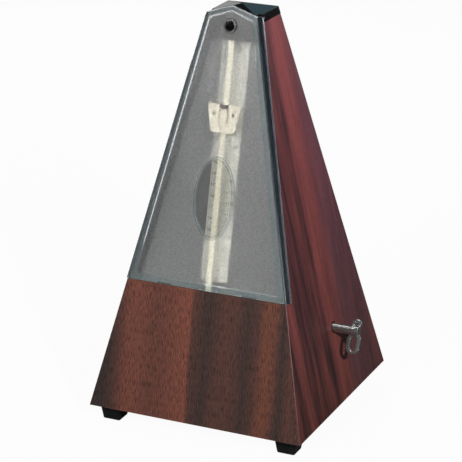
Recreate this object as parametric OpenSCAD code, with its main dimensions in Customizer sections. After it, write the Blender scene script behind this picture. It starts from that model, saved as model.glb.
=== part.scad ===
// Wind-up pyramid metronome: moulded case on four feet, clip-on front cover, sliding-weight
// pendulum, and a spring-driven movement with a crown wheel and verge.
// +Z is up, the front faces -Y, the winding key is on +X, and the origin is on the floor
// under the apex of the pyramid.

/* [Case] */
// Width of the square foot of the pyramid
case_base = 121; // [112:1:132]
// Height of the eaves, where the roof of the cap starts
eave_z = 216.8; // [208:0.2:228]
// Height of the case's lower edge above the floor
foot_h = 9; // [7:0.5:12]
// Width of the case at the eaves
eave_w = 28.4; // [26:0.2:32]
// Distance from the axis to the front face at the eaves
eave_front = 12.4; // [11.5:0.1:15]
// Horizontal thickness of the case walls
wall_t = 3; // [2.4:0.1:3.6]
// Height of the lower front panel, above the case's lower edge
sill_rise = 68.8; // [65:0.2:73]
// Radius of the hole in the right wall for the key
key_hole_r = 3.2; // [2.9:0.1:4.5]
// Half side of the square corner posts that take the foot screws
post_half = 4; // [3.4:0.1:4.6]
// Height of the corner posts above the base plate
post_h = 14; // [10:0.5:20]
// Depth of the two rails that the scale board is screwed to
rail_t = 2.6; // [2:0.1:3.5]
// Width of the rails, inwards from the wall
rail_w = 4.5; // [4:0.1:5.5]
// Height of the lower board screws above the board's lower end
board_screw_up = 8; // [6:0.5:12]
// Distance of the upper board screws below the board's upper end
board_screw_down = 22; // [16:0.5:30]
// Radius of the board screws' shanks
small_screw_r = 0.75; // [0.6:0.05:0.9]
// Height of the board screws' heads
small_head_h = 0.9; // [0.6:0.1:1.2]

/* [Cap] */
// Height of the black band under the eaves
band_h = 4; // [3:0.2:6]
// Rise of the four-sided roof
roof_rise = 3.2; // [2:0.2:6]
// Depth of the skirt that plugs into the top of the case
skirt_h = 5; // [3:0.5:8]
// Wall of the skirt
skirt_t = 1.6; // [1.2:0.1:2]
// Distance of the lower edge of the ball stud's apron below the eaves
apron_down = 13; // [10:0.2:15.6]
// Thickness of the apron
apron_t = 1.6; // [1.2:0.1:1.9]
// Radius of the ball stud
ball_r = 2.2; // [2:0.1:2.5]
// Radius of the neck behind the ball
neck_r = 1.3; // [1:0.1:1.6]
// Distance of the ball stud below the eaves
stud_down = 5.6; // [4.8:0.1:7.2]

/* [Cover] */
// Thickness of the cover's front and sides
cover_t = 1.6; // [1.2:0.1:1.8]
// Height of the cover's outer faces above the case's
cover_proud = 0.35; // [0.1:0.05:0.8]
// Depth of the side flanges, behind the front face
flange_d = 6.2; // [5:0.1:7]
// Gap between the cover and what is round it
cover_gap = 0.3; // [0.2:0.05:0.5]
// Rise of the gable above the eaves
gable_rise = 4.4; // [3.6:0.1:5.5]
// Width of the flat border round the raised panel
border_w = 4.4; // [3:0.1:6]
// Height of the raised panel above the border
panel_h = 0.5; // [0.3:0.05:0.8]
// Radial clearance of the cover's hole round the ball
ball_gap = 0.25; // [0.15:0.05:0.4]
// Wall of the collar round that hole
collar_t = 1; // [0.8:0.1:1.3]
// Height of the collar above the panel
collar_h = 1.1; // [0.5:0.1:1.5]
// Height of the middle of the oval window, above the sill
window_up = 48.5; // [44:0.5:54]
// Half height of the oval window
window_long = 22; // [18:0.5:26]
// Half width of the oval window
window_half = 12; // [9:0.5:14]
// Height of the window's rim above the panel
window_rim = 0.5; // [0.3:0.05:0.8]
// Width of the window's rim
window_rim_w = 1.3; // [1:0.1:1.8]
// Distance from the middle to each hook at the cover's foot
hook_x = 24; // [18:0.5:30]
// Width of a hook
hook_w = 8; // [6:0.5:10]
// Length of a hook behind the lower panel
hook_l = 5; // [3.5:0.5:6.5]
// Thickness of a hook
hook_t = 1.4; // [1:0.1:1.6]

/* [Base and feet] */
// Thickness of the base plate
base_t = 3; // [2.4:0.1:4]
// Distance of each foot's middle from the corner edges of the case
foot_inset = 10.2; // [9.8:0.1:11.5]
// How much nearer the middle the two rear feet stand than the two front ones
rear_foot_in = 6; // [4.5:0.5:8]
// Side of a foot where it meets the case
foot_top_w = 12.4; // [11:0.1:13]
// Side of a foot on the floor
foot_floor_w = 9.8; // [9:0.1:10.8]
// Radius of the screws
screw_r = 1.5; // [1.2:0.1:1.7]
// Radius of the screw heads
head_r = 2.9; // [2.6:0.1:3.1]
// Height of the screw heads
head_h = 1.8; // [1.4:0.1:2.2]
// Depth of the screw heads' recess in the feet
recess_d = 4; // [3:0.2:5]
// Reach of the foot screws above the base plate
foot_screw_up = 9; // [6:0.5:9.5]

/* [Scale] */
// Depth of the scale board's front, behind the front face
board_d = 10.4; // [10:0.1:12]
// Thickness of the scale board
board_t = 1.8; // [1.5:0.1:2.4]
// Distance of the scale board's lower end below the top of the lower panel
board_below = 6.8; // [3.8:0.1:7.3]
// Distance of the scale board's upper end below the eaves
board_down = 10; // [9.6:0.2:12.8]
// Thickness of the scale plate
scale_t = 0.5; // [0.3:0.05:0.8]
// Width of the scale plate
scale_w = 15; // [12:0.5:18]
// Distance of the scale plate's lower end above the top of the lower panel
scale_above = 4.2; // [2.2:0.1:8.2]
// Distance of the scale plate's upper end below the eaves
scale_down = 12.3; // [10.8:0.1:14.8]
// Distance of the rod catch below the rod's tip
catch_down = 5; // [4:0.5:6]
// Width of the rod catch
catch_w = 6; // [5:0.5:7]
// Thickness of the rod catch's sheet
catch_t = 0.8; // [0.6:0.1:1]

/* [Pendulum] */
// Height of the pendulum's axis above the case's lower edge
pivot_rise = 53; // [51:0.5:55]
// Width of the pendulum rod
rod_w = 3; // [2.6:0.1:3.6]
// Thickness of the pendulum rod
rod_t = 1; // [0.8:0.05:1.2]
// Depth of the rod's middle, behind the front face
rod_d = 4; // [3.9:0.05:4.2]
// Distance of the rod's tip below the eaves
rod_down = 11.8; // [10.8:0.1:12.4]
// Height of the rod's lower end above the case's lower edge
rod_low_rise = 9; // [8.5:0.5:11]
// Distance of the lowest tempo notch above the top of the lower panel
notch_above = 14.2; // [8.2:0.5:22.2]
// Distance of the highest tempo notch below the rod's tip
notch_below = 11; // [9:0.5:16]
// Number of tempo notches on each edge
notch_count = 31; // [10:1:32]
// Depth of a tempo notch
notch_d = 0.3; // [0.15:0.05:0.5]
// Radius of the pendulum arbor
verge_r = 1.5; // [1.2:0.1:1.7]
// Radius of the rod's hub
hub_r = 4.5; // [3.5:0.1:5.5]
// Radius of the bob
bob_r = 12.5; // [11:0.5:13]
// Thickness of the bob
bob_t = 10; // [8:0.5:10]
// Height of the bob's middle above the case's lower edge
bob_rise = 20.5; // [19.5:0.5:22]
// Length of a pallet, from the arbor's middle
pallet_l = 4.5; // [4:0.1:4.8]
// Width of a pallet, along the arbor
pallet_w = 3; // [2.5:0.1:3.5]
// Thickness of a pallet
pallet_t = 0.9; // [0.6:0.1:1.2]
// Angle of each pallet from the crown wheel's axis
pallet_angle = 50; // [48:1:56]

/* [Sliding weight] */
// Distance of the weight's middle below the eaves
weight_down = 51.8; // [44.8:0.1:61.8]
// Width of the weight's upper edge
weight_top_w = 18.4; // [16:0.2:19]
// Width of the weight's lower edge
weight_low_w = 13; // [11:0.2:15]
// Height of the weight, along the rod
weight_h = 14.6; // [12:0.2:16]
// Thickness of the weight's front plate
weight_front_t = 1.3; // [1:0.05:1.5]
// Thickness of the weight's back plate
weight_back_t = 2.4; // [2:0.05:2.8]
// Clearance between the weight and the rod
weight_gap = 0.08; // [0.05:0.01:0.12]
// Width of the spring tongue
tongue_w = 3.6; // [3:0.1:4.2]
// Length of the slits beside the tongue
slit_l = 9.5; // [7:0.1:11]
// Width of the slits
slit_w = 0.7; // [0.5:0.1:0.9]
// Distance from the weight's middle to each rivet
rivet_x = 5.3; // [4.6:0.1:5.6]
// Radius of the rivets
rivet_r = 0.75; // [0.6:0.05:0.9]

/* [Key] */
// Distance from the axis of the case back to the winding arbor
wind_y = 5.3; // [4:0.1:6.5]
// Height of the winding arbor above the case's lower edge
wind_rise = 39.2; // [38:0.1:40.5]
// Radius of the key's hub
key_hub_r = 2.5; // [2.2:0.05:2.7]
// How far the hub stands out of the wall
key_out = 13.3; // [10:0.5:15]
// Lean of the grip, its lower end forward
key_lean = 27; // [0:1:45]
// Thickness of the grip
grip_t = 1.9; // [1.5:0.1:2.4]
// Radius of the big loop
big_loop_r = 3.9; // [3.2:0.1:4.2]
// Radius of the small loop
small_loop_r = 2.9; // [2.6:0.1:3.3]
// Width of the metal round the loops
loop_w = 1.5; // [1.1:0.1:1.6]
// Reach of the grip below the hub's axis
grip_down = 12.9; // [11:0.1:15]
// Reach of the grip above the hub's axis
grip_up = 6.4; // [6:0.1:8]
// Radius of the key's boss
boss_r = 3.1; // [2.9:0.1:3.5]
// Length of the key's boss
boss_l = 4; // [3:0.1:5]
// Wall left at the closed end of the hub's bore
hub_end = 2.2; // [1.8:0.1:3]

/* [Movement] */
// Left plate's outer face, left of the case's middle
plate_left = 26; // [25.5:0.5:28]
// Right plate's outer face, right of the case's middle
plate_right = 20; // [20:0.5:21]
// Thickness of the plates
plate_t = 1.5; // [1.2:0.1:1.8]
// Front edge of the plates, ahead of the axis
plate_front = 38; // [37.5:0.5:38.5]
// Back edge of the plates, behind the axis
plate_back = 31; // [30:0.5:34]
// Height of the plates' upper edge above the case's lower edge
plate_rise = 60.5; // [60:0.1:61]
// Width of the plates' feet
plate_foot_w = 9; // [8:0.5:11]
// Radius of the pillars
pillar_r = 2.5; // [2:0.1:3]
// Inset of the pillars from the plates' edges
pillar_inset = 5.5; // [5:0.1:6.5]
// Height of the lower pillars above the case's lower edge
pillar_rise = 12; // [10:0.5:14]
// Radius of the train's arbors
arbor_r = 1.5; // [1.3:0.1:1.7]
// Radius of the pivots at the arbors' ends
pivot_r = 1; // [0.8:0.05:1.1]
// Radius of the winding arbor
wind_r = 2.4; // [2.2:0.1:2.5]
// Radius of the winding arbor's threaded end, inside the key
thread_r = 1.5; // [1.3:0.05:1.6]
// Radial clearance of a pivot or a shaft in its hole
run_gap = 0.05; // [0.03:0.01:0.08]
// End play of the arbors between their bearings
end_play = 0.2; // [0.1:0.05:0.3]
// Teeth on the great wheel
great_teeth = 48; // [44:4:52]
// Leaves of the intermediate pinion
mid_leaves = 8; // [8:1:8]
// Tooth module of the great wheel and its pinion
great_module = 0.8; // [0.76:0.02:0.82]
// Teeth on the intermediate wheel
mid_teeth = 40; // [36:2:40]
// Leaves of the escape pinion
escape_leaves = 8; // [8:1:8]
// Tooth module of the intermediate wheel and the escape pinion
mid_module = 0.7; // [0.66:0.02:0.7]
// Thickness of the wheels
wheel_t = 1.5; // [1.2:0.1:1.6]
// How much longer a pinion is than its wheel, at each side
pinion_over = 1.5; // [1:0.1:1.8]
// Left face of the intermediate wheel, left of the case's middle
mid_wheel_left = 16.5; // [16:0.1:17]
// Left face of the escape bridge, left of the case's middle
bridge_left = 12.5; // [12.3:0.1:12.8]
// Half width of the escape bridge
bridge_half = 12; // [11.5:0.1:12.5]
// Radius of the bridge's posts
post_r = 2; // [1.6:0.1:2.4]
// Distance from the bridge's middle to each post
post_off = 9; // [8.6:0.1:9.2]
// Height of the posts above the escape arbor
post_up = 4.2; // [4:0.1:4.6]
// Thickness of the pendulum arbor's bearings
bearing_t = 3; // [2.5:0.1:3.2]
// Half height of the front bearing bar
bearing_half = 5; // [4:0.1:5.5]
// Half height of the rear bearing block
cock_half = 4; // [3.5:0.1:4.5]
// Clear space beside a wheel
side_gap = 0.5; // [0.4:0.05:0.6]
// Radius of the pillars' spigots
spigot_r = 1.2; // [1:0.1:1.4]
// Radius of the riveted heads
rivet_head_r = 1.9; // [1.7:0.1:2.3]
// Height of the riveted heads
rivet_head_h = 0.9; // [0.6:0.1:1.2]
// Left face of the great wheel, right of the case's middle
great_x = 5; // [4.6:0.1:5.2]
// Distance from the case's axis forward to the crown wheel
crown_y = 14; // [13.5:0.1:14.5]
// Radius of the crown wheel
crown_r = 11; // [10.5:0.1:11.2]
// Radial width of the crown wheel's rim
crown_rim_w = 1.5; // [1.2:0.1:1.8]
// Teeth on the crown wheel
crown_teeth = 15; // [13:2:17]
// Height of the crown wheel's teeth
crown_tooth_h = 3; // [2.5:0.1:3.2]
// Distance from the pendulum arbor to the crown wheel's tooth tips
crown_x = 3.5; // [3.4:0.05:3.8]
// Radius of the spring barrel
barrel_r = 16.5; // [15.5:0.5:17]
// Length of the spring barrel, behind the great wheel
barrel_l = 10; // [9:0.5:10.5]
// Wall of the spring barrel
barrel_t = 1; // [0.8:0.1:1.2]
// Thickness of the mainspring
spring_t = 0.5; // [0.4:0.05:0.6]
// Turns of the mainspring
spring_turns = 7; // [5:1:8]
// Teeth on the ratchet wheel
ratchet_teeth = 24; // [24:12:24]
// Radius of the ratchet wheel
ratchet_r = 8; // [7.6:0.1:8.2]
// Depth of the ratchet teeth
ratchet_d = 1.2; // [1:0.1:1.3]
// Thickness of the ratchet wheel and the click
ratchet_t = 2; // [1.6:0.1:2.4]
// Distance from the ratchet wheel's middle forward to the click's pin
click_ahead = 12; // [11.5:0.1:12.5]
// Height of the click's pin above the ratchet wheel's middle
click_up = 9.5; // [9.2:0.1:9.8]
// Radius of the click's pin
click_pin_r = 1.2; // [1:0.1:1.4]
// Radius of the click's eye
click_eye_r = 3.2; // [2.8:0.1:3.4]
// Gap between the click and the ratchet wheel's teeth
click_gap = 0.15; // [0.1:0.05:0.3]
// Radius of the click spring's pin
spring_pin_r = 0.8; // [0.6:0.1:1]
// Distance from the click's pin forward to the spring's pin
spring_ahead = 14; // [13:0.5:15]
// Height of the spring's pin above the click's pin
spring_up = 5; // [4.6:0.1:5.4]
// Thickness of the click spring's leaf
leaf_t = 0.45; // [0.3:0.05:0.6]

/* [Hidden] */
$fn = 48;
// Longer than anything in the part, for cuts that run right through
far = 300;
// A hair of overlap between solids that are joined into one
eps = 0.05;

sill_z = foot_h + sill_rise;
board_low_z = sill_z - board_below;
scale_low_z = sill_z + scale_above;
pivot_z = foot_h + pivot_rise;
rod_low_z = foot_h + rod_low_rise;
bob_z = foot_h + bob_rise;
wind_z = foot_h + wind_rise;
plate_top_z = foot_h + plate_rise;
pillar_low_z = foot_h + pillar_rise;
notch_low_z = sill_z + notch_above;

// Slopes of the faces: horizontal run for each unit of height
rise = eave_z - foot_h;
front_run = (case_base / 2 - eave_front) / rise;
side_run = (case_base / 2 - eave_w / 2) / rise;
lean = atan(front_run);

// Half width, front and rear face of the pyramid at a height
function half_w(z) = case_base / 2 - side_run * (z - foot_h);
function front_y(z) = -case_base / 2 + front_run * (z - foot_h);
function rear_y(z) = half_w(z);
// How far a foot is from the middle, sideways; the rear feet stand nearer to it
function foot_x(sy) = sy < 0 ? foot_pos : rear_foot_pos;
// Distance up the front face at a height, and a point's y at a height and depth behind it
function up(z) = (z - foot_h) / cos(lean);
function deep_y(z, d) = front_y(z) + d / cos(lean);

band_z = eave_z - band_h;
floor_z = foot_h + base_t;
sill_up = up(sill_z);
apron_z = eave_z - apron_down;
stud_z = eave_z - stud_down;
board_top_z = eave_z - board_down;
scale_top_z = eave_z - scale_down;
rod_top_z = eave_z - rod_down;
notch_pitch = (rod_top_z - notch_below - notch_low_z) / (notch_count - 1);
weight_z = eave_z - weight_down;
cover_low = sill_up + cover_gap;
// The cover tilts about the middle of its rounded lower edge
tilt_r = cover_t / 2;
tilt_up = cover_low + tilt_r;
tilt_out = cover_proud - tilt_r;
cover_back = cover_t - cover_proud;
opening_d = flange_d + cover_gap;
foot_pos = case_base / 2 - foot_inset;
rear_foot_pos = foot_pos - rear_foot_in;
weight_front_d = rod_d - rod_t / 2 - weight_gap - weight_front_t;
channel_d = rod_t + 2 * weight_gap;

plate_in_l = -plate_left + plate_t;
plate_in_r = plate_right - plate_t;
mid_dist = great_module * (great_teeth + mid_leaves) / 2;
escape_dist = mid_module * (mid_teeth + escape_leaves) / 2;
// The intermediate arbor stands where both wheels mesh, below the line of the other two
crown_off = norm([wind_y + crown_y, pivot_z - wind_z]);
mid_along = (mid_dist ^ 2 - escape_dist ^ 2 + crown_off ^ 2) / (2 * crown_off);
mid_down = sqrt(mid_dist ^ 2 - mid_along ^ 2);
crown_dir = [-(wind_y + crown_y), pivot_z - wind_z] / crown_off;
mid_y = wind_y + mid_along * crown_dir[0] - mid_down * crown_dir[1];
mid_z = wind_z + mid_along * crown_dir[1] + mid_down * crown_dir[0];
bridge_x = -bridge_left;
mid_wheel_x = -mid_wheel_left;
barrel_x = great_x + wheel_t;
crown_disc_x = bridge_x + wheel_t + side_gap;
crown_disc_t = 0.8 * wheel_t;
ratchet_x = plate_right + side_gap;
click_y = wind_y - click_ahead;
click_z = wind_z + click_up;
leaf_pin_y = click_y - spring_ahead;
leaf_pin_z = click_z + spring_up;
key_wall_x = half_w(wind_z);
hub_in = key_wall_x - wall_t + cover_gap;
hub_out = key_wall_x + key_out;
// The grip's middle plane meets the hub just short of its end
grip_x = hub_out - 0.2 * boss_l;

// ---------------------------------------------------------------- helpers

// Solid of the case's own slopes between two heights, its faces moved out by grow and the
// front face moved out by grow_front
module pyramid(z0, z1, grow = 0, grow_front = undef) {
    gf = is_undef(grow_front) ? grow : grow_front;
    intersection() {
        rotate([90, 0, 0])
            linear_extrude(far, center = true)
                polygon([
                    [-half_w(z0) - grow, z0], [half_w(z0) + grow, z0],
                    [half_w(z1) + grow, z1], [-half_w(z1) - grow, z1]
                ]);
        rotate([90, 0, 90])
            linear_extrude(far, center = true)
                polygon([
                    [front_y(z0) - gf, z0], [rear_y(z0) + grow, z0],
                    [rear_y(z1) + grow, z1], [front_y(z1) - gf, z1]
                ]);
    }
}

// Children in the front face's frame: x across, y up the slope, z outwards
module on_front() {
    translate([0, -case_base / 2, foot_h])
        rotate([90 - lean, 0, 0])
            children();
}

// Everything between two depths behind the front face, from a distance up the slope
module front_slab(d0, d1, from_up = -50) {
    on_front()
        translate([-far / 2, from_up, -d1])
            cube([far, far, d1 - d0]);
}

// Cylinder along X from x0 to x1 at a place in the side view
module along_x(x0, x1, r, y = 0, z = 0) {
    translate([x0, y, z])
        rotate([0, 90, 0])
            cylinder(h = x1 - x0, r = r);
}

// Cylinder along Y from y0 to y1
module along_y(y0, y1, r, x = 0, z = 0) {
    translate([x, y1, z])
        rotate([90, 0, 0])
            cylinder(h = y1 - y0, r = r);
}

// A side-view outline (y, z) pushed out along X
module side_plate(x0, t) {
    translate([x0, 0, 0])
        rotate([90, 0, 90])
            linear_extrude(t)
                children();
}

// Straight-flanked clock teeth: each tooth has a root, a flank and a topped tip
module tooth_outline(n, module_mm) {
    root_r = module_mm * (n / 2 - 1.15);
    tip_r = module_mm * (n / 2 + 0.8);
    pitch_half = 0.38 * 180 / n;
    polygon([
        for (i = [0:n - 1])
            for (p = [[root_r, -1.35], [tip_r, -0.45], [tip_r, 0.45], [root_r, 1.35]])
                p[0] * [cos(i * 360 / n + p[1] * pitch_half), sin(i * 360 / n + p[1] * pitch_half)]
    ]);
}

// A gear about X at a place in the side view, turned by a phase, with a bore
module gear(n, module_mm, x0, t, y, z, phase, bore_r) {
    side_plate(x0, t)
        translate([y, z])
            difference() {
                rotate(phase)
                    tooth_outline(n, module_mm);
                circle(r = bore_r);
            }
}

// Screw with a pan head; it points up
module screw(r, length) {
    translate([0, 0, -head_h])
        cylinder(h = head_h, r = head_r);
    translate([0, 0, -head_h / 2])
        cylinder(h = length + head_h / 2, r = r);
}

// ---------------------------------------------------------------- case

module case_shell() color("#6b3a33") {
    difference() {
        union() {
            difference() {
                pyramid(foot_h, band_z);
                pyramid(foot_h - 1, band_z + 1, -wall_t);
            }
            corner_posts();
            board_rails();
        }
        front_slab(-far / 4, opening_d, sill_up);
        along_x(0, far / 2, key_hole_r, wind_y, wind_z);
        foot_screw_holes(floor_z + post_h);
    }
}

// Square posts in the four corners, on the base plate
module corner_posts() {
    difference() {
        intersection() {
            pyramid(floor_z, floor_z + post_h, -wall_t / 2);
            for (sx = [-1, 1])
                for (sy = [-1, 1])
                    translate([
                        sx * (foot_x(sy) + post_half), sy * (foot_pos + post_half), floor_z + post_h / 2
                    ])
                        cube([4 * post_half, 4 * post_half, post_h], center = true);
        }
        foot_screw_holes(floor_z + foot_screw_up + 1);
    }
}

module foot_screw_holes(top_z) {
    for (sx = [-1, 1])
        for (sy = [-1, 1])
            translate([sx * foot_x(sy), sy * foot_pos, -1])
                cylinder(h = min(top_z, floor_z + foot_screw_up + 1) + 1, r = screw_r + run_gap);
}

// Two rails down the side walls, with holes for the board's screws
module board_rails() {
    difference() {
        intersection() {
            front_slab(board_d + board_t, board_d + board_t + rail_t, up(board_low_z));
            difference() {
                pyramid(board_low_z, band_z - skirt_h - 1, -wall_t / 2);
                pyramid(board_low_z - 1, band_z, -wall_t - rail_w);
            }
        }
        board_screw_places()
            cylinder(h = far, r = small_screw_r + run_gap, center = true);
    }
}

// Places of the four screws that hold the scale board
module board_screw_places() {
    for (z = [board_low_z + board_screw_up, board_top_z - board_screw_down])
        for (s = [-1, 1])
            on_front()
                translate([s * (half_w(z) - wall_t - rail_w / 2), up(z), -board_d])
                    children();
}

module top_cap() color("#1a1c1e") {
    difference() {
        union() {
            pyramid(band_z, eave_z);
            roof();
            difference() {
                pyramid(band_z - skirt_h, band_z + eps, -wall_t - cover_gap);
                pyramid(band_z - skirt_h - 1, band_z, -wall_t - cover_gap - skirt_t);
            }
            apron();
        }
        cover_room();
        front_slab(-far / 4, cover_back + cover_gap);
        stud_hole();
    }
}

// The roof's four planes meet over the axis
module roof() {
    half = half_w(eave_z);
    intersection() {
        rotate([90, 0, 0])
            linear_extrude(far, center = true)
                polygon([[-half, eave_z - eps], [half, eave_z - eps], [0, eave_z + roof_rise]]);
        rotate([90, 0, 90])
            linear_extrude(far, center = true)
                polygon([
                    [front_y(eave_z), eave_z - eps], [half, eave_z - eps], [0, eave_z + roof_rise]
                ]);
    }
}

// Plate that hangs from the cap behind the cover
module apron() {
    intersection() {
        front_slab(cover_back + cover_gap, cover_back + cover_gap + apron_t);
        pyramid(apron_z, band_z + 1);
    }
}

// Room for the cover's flanges, beside the cap's front part
module cover_room() {
    difference() {
        front_slab(-far / 4, opening_d, sill_up);
        pyramid(sill_z, eave_z + roof_rise + 1, cover_proud - cover_t - cover_gap, 0);
    }
}

module stud_hole() {
    on_front()
        translate([0, up(stud_z), 0])
            cylinder(h = far / 4, r = neck_r + run_gap, center = true);
}

module cover_stud() color("#0b0b0c")
    on_front()
        translate([0, up(stud_z), -cover_back - cover_gap]) {
            translate([0, 0, ball_r + eps])
                sphere(r = ball_r);
            translate([0, 0, -apron_t])
                cylinder(h = apron_t + ball_r, r = neck_r);
        }

// ---------------------------------------------------------------- front cover

module front_cover() color("#8a9090") {
    difference() {
        union() {
            cover_skin();
            raised_panel();
            on_front()
                translate([0, up(stud_z), 0])
                    cylinder(h = cover_proud + panel_h + collar_h, r = ball_r + ball_gap + collar_t);
            window_ring(window_rim);
        }
        on_front()
            translate([0, up(stud_z), 0])
                cylinder(h = far / 10, r = ball_r + ball_gap, center = true);
    }
    cover_hooks();
}

// Front plate with its gable, and the side flanges
module cover_skin() {
    difference() {
        intersection() {
            pyramid(sill_z - 5, eave_z + gable_rise + 2, cover_proud, 5);
            front_slab(-cover_proud, flange_d, cover_low);
            cover_gable(0);
        }
        intersection() {
            pyramid(sill_z - 6, eave_z + gable_rise + 3, cover_proud - cover_t, 5);
            front_slab(cover_back, flange_d + 1);
        }
        edge_waste();
    }
}

// What is rounded off the cover's lower edge
module edge_waste() {
    on_front()
        difference() {
            translate([-far / 2, cover_low - 1, tilt_out])
                cube([far, 1 + tilt_r, tilt_r + 1]);
            translate([-far, tilt_up, tilt_out])
                rotate([0, 90, 0])
                    cylinder(h = 2 * far, r = tilt_r);
        }
}

// Everything under the gable's two slopes, which lie a distance below the cover's own
module cover_gable(below) {
    top = up(eave_z) - below;
    half = half_w(eave_z) + cover_proud;
    slope = gable_rise / cos(lean) / half;
    on_front()
        translate([0, 0, -far / 2])
            linear_extrude(far)
                polygon([
                    [-far / 4, 0], [far / 4, 0], [far / 4, top + slope * (half - far / 4)],
                    [0, top + slope * half], [-far / 4, top + slope * (half - far / 4)]
                ]);
}

// The panel stands on the front plate inside a flat border
module raised_panel() {
    intersection() {
        pyramid(sill_z - 5, eave_z + gable_rise, cover_proud - border_w, 5);
        front_slab(-cover_proud - panel_h, 0, cover_low + border_w);
        cover_gable(border_w / 2);
    }
}

// Oval band round the clear window
module window_ring(height) {
    on_front()
        translate([0, sill_up + window_up, 0])
            linear_extrude(cover_proud + panel_h + height)
                difference() {
                    lens(window_half, window_long);
                    lens(window_half - window_rim_w, window_long - window_rim_w);
                }
}

// Ellipse with its long axis up the slope
module lens(half, long) {
    polygon([for (a = [0:5:355]) [half * cos(a), long * sin(a)]]);
}

// Two hooks that drop behind the top of the lower panel
module cover_hooks() {
    behind = wall_t * cos(lean) + cover_gap;
    for (s = [-1, 1])
        on_front()
            translate([s * hook_x - hook_w / 2, 0, 0]) {
                translate([0, cover_low, -behind - hook_t])
                    cube([hook_w, hook_t, behind + hook_t - cover_back + eps]);
                translate([0, cover_low - hook_l, -behind - hook_t])
                    cube([hook_w, hook_l + eps, hook_t]);
            }
}

// ---------------------------------------------------------------- base and feet

module base_plate() color("#222222") {
    difference() {
        pyramid(foot_h, floor_z, -wall_t - cover_gap);
        foot_screw_holes(floor_z);
        movement_screw_places()
            cylinder(h = far / 10, r = screw_r + run_gap, center = true);
    }
}

// Tapered square foot with a recess for its screw
module foot(sx, sy) color("#141414") {
    a = foot_floor_w / 2;
    b = foot_top_w / 2;
    translate([sx * foot_x(sy), sy * foot_pos, 0])
        difference() {
            intersection() {
                rotate([90, 0, 0])
                    linear_extrude(far, center = true)
                        polygon([[-a, 0], [a, 0], [b, foot_h], [-b, foot_h]]);
                rotate([90, 0, 90])
                    linear_extrude(far, center = true)
                        polygon([[-a, 0], [a, 0], [b, foot_h], [-b, foot_h]]);
            }
            translate([0, 0, -1])
                cylinder(h = recess_d + 1, r = head_r + 0.3);
            translate([0, 0, -1])
                cylinder(h = foot_h + 2, r = screw_r + run_gap);
        }
}

module foot_front_left() foot(-1, -1);
module foot_front_right() foot(1, -1);
module foot_rear_left() foot(-1, 1);
module foot_rear_right() foot(1, 1);

module foot_screws() color("#b8babc")
    for (sx = [-1, 1])
        for (sy = [-1, 1])
            translate([sx * foot_x(sy), sy * foot_pos, recess_d])
                screw(screw_r, floor_z + foot_screw_up - recess_d);

// ---------------------------------------------------------------- scale

module scale_board() color("#3a3d3e") {
    difference() {
        intersection() {
            front_slab(board_d, board_d + board_t);
            pyramid(board_low_z, board_top_z, -wall_t - cover_gap);
        }
        board_screw_places()
            cylinder(h = far / 10, r = small_screw_r + run_gap, center = true);
    }
}

module scale_plate() color("#e8e4d2")
    on_front()
        translate([-scale_w / 2, up(scale_low_z), -board_d])
            cube([scale_w, up(scale_top_z) - up(scale_low_z), scale_t]);

module board_screws() color("#b8babc")
    board_screw_places() {
        cylinder(h = small_head_h, r = 2 * small_screw_r);
        translate([0, 0, -board_t - rail_t])
            cylinder(h = board_t + rail_t + small_head_h / 2, r = small_screw_r);
    }

// Block centred across and up the slope, from a height above the board
module centred_block(size, z) {
    translate([-size[0] / 2, -size[1] / 2, z])
        cube(size);
}

// Bracket on the board whose forked lip ends just behind the rod
module rod_catch() color("#c9cbcc")
    on_front()
        translate([0, up(rod_top_z) - catch_down, -board_d + scale_t]) {
            lip = board_d - scale_t - rod_d - rod_t / 2 - cover_gap;
            centred_block([catch_w, 3, catch_t], 0);
            centred_block([catch_w / 3, 1.2, lip - catch_t], 0);
            centred_block([catch_w, 1.8, catch_t], lip - 2 * catch_t);
            for (s = [-1, 1])
                translate([s * (catch_w - 1) / 2, 0, 0])
                    centred_block([1, 1.8, catch_t + eps], lip - catch_t - eps);
        }

// ---------------------------------------------------------------- movement frame

// One plate with its foot; side is -1 for the left plate and 1 for the right
module movement_plate(side) {
    x0 = side < 0 ? -plate_left : plate_in_r;
    foot_x = side < 0 ? -plate_left - plate_foot_w + plate_t : plate_in_r;
    translate([x0, -plate_front, floor_z])
        cube([plate_t, plate_front + plate_back, plate_top_z - floor_z]);
    translate([foot_x, -plate_front, floor_z])
        cube([plate_foot_w, plate_front + plate_back, plate_t]);
}

module movement_screw_places() {
    for (x = [-plate_left - plate_foot_w / 2 + plate_t / 2, plate_right + plate_foot_w / 2 - plate_t / 2])
        for (y = [10 - plate_front, plate_back - 10])
            translate([x, y, foot_h])
                children();
}

module left_plate() color("#c2a350")
    difference() {
        movement_plate(-1);
        along_x(-far, 0, thread_r + run_gap, wind_y, wind_z);
        along_x(-far, 0, pivot_r + run_gap, mid_y, mid_z);
        along_x(-far, 0, pivot_r + run_gap, -crown_y, pivot_z);
        pillar_places()
            along_x(-far, 0, spigot_r + run_gap);
        movement_screw_places()
            cylinder(h = far / 10, r = screw_r + run_gap, center = true);
    }

module right_plate() color("#c2a350")
    difference() {
        movement_plate(1);
        along_x(0, far, wind_r + run_gap, wind_y, wind_z);
        along_x(0, far, pivot_r + run_gap, mid_y, mid_z);
        along_x(0, far, click_pin_r + run_gap, click_y, click_z);
        along_x(0, far, spring_pin_r + run_gap, leaf_pin_y, leaf_pin_z);
        pillar_places()
            along_x(0, far, spigot_r + run_gap);
        movement_screw_places()
            cylinder(h = far / 10, r = screw_r + run_gap, center = true);
    }

// Two pillars low down and one at the upper back; the front bearing spaces the fourth corner
module pillar_places() {
    back = plate_back - pillar_inset;
    low = [[pillar_inset - plate_front, pillar_low_z], [back, pillar_low_z]];
    for (p = [each low, [back, plate_top_z - pillar_inset]])
        translate([0, p[0], p[1]])
            children();
}

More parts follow.
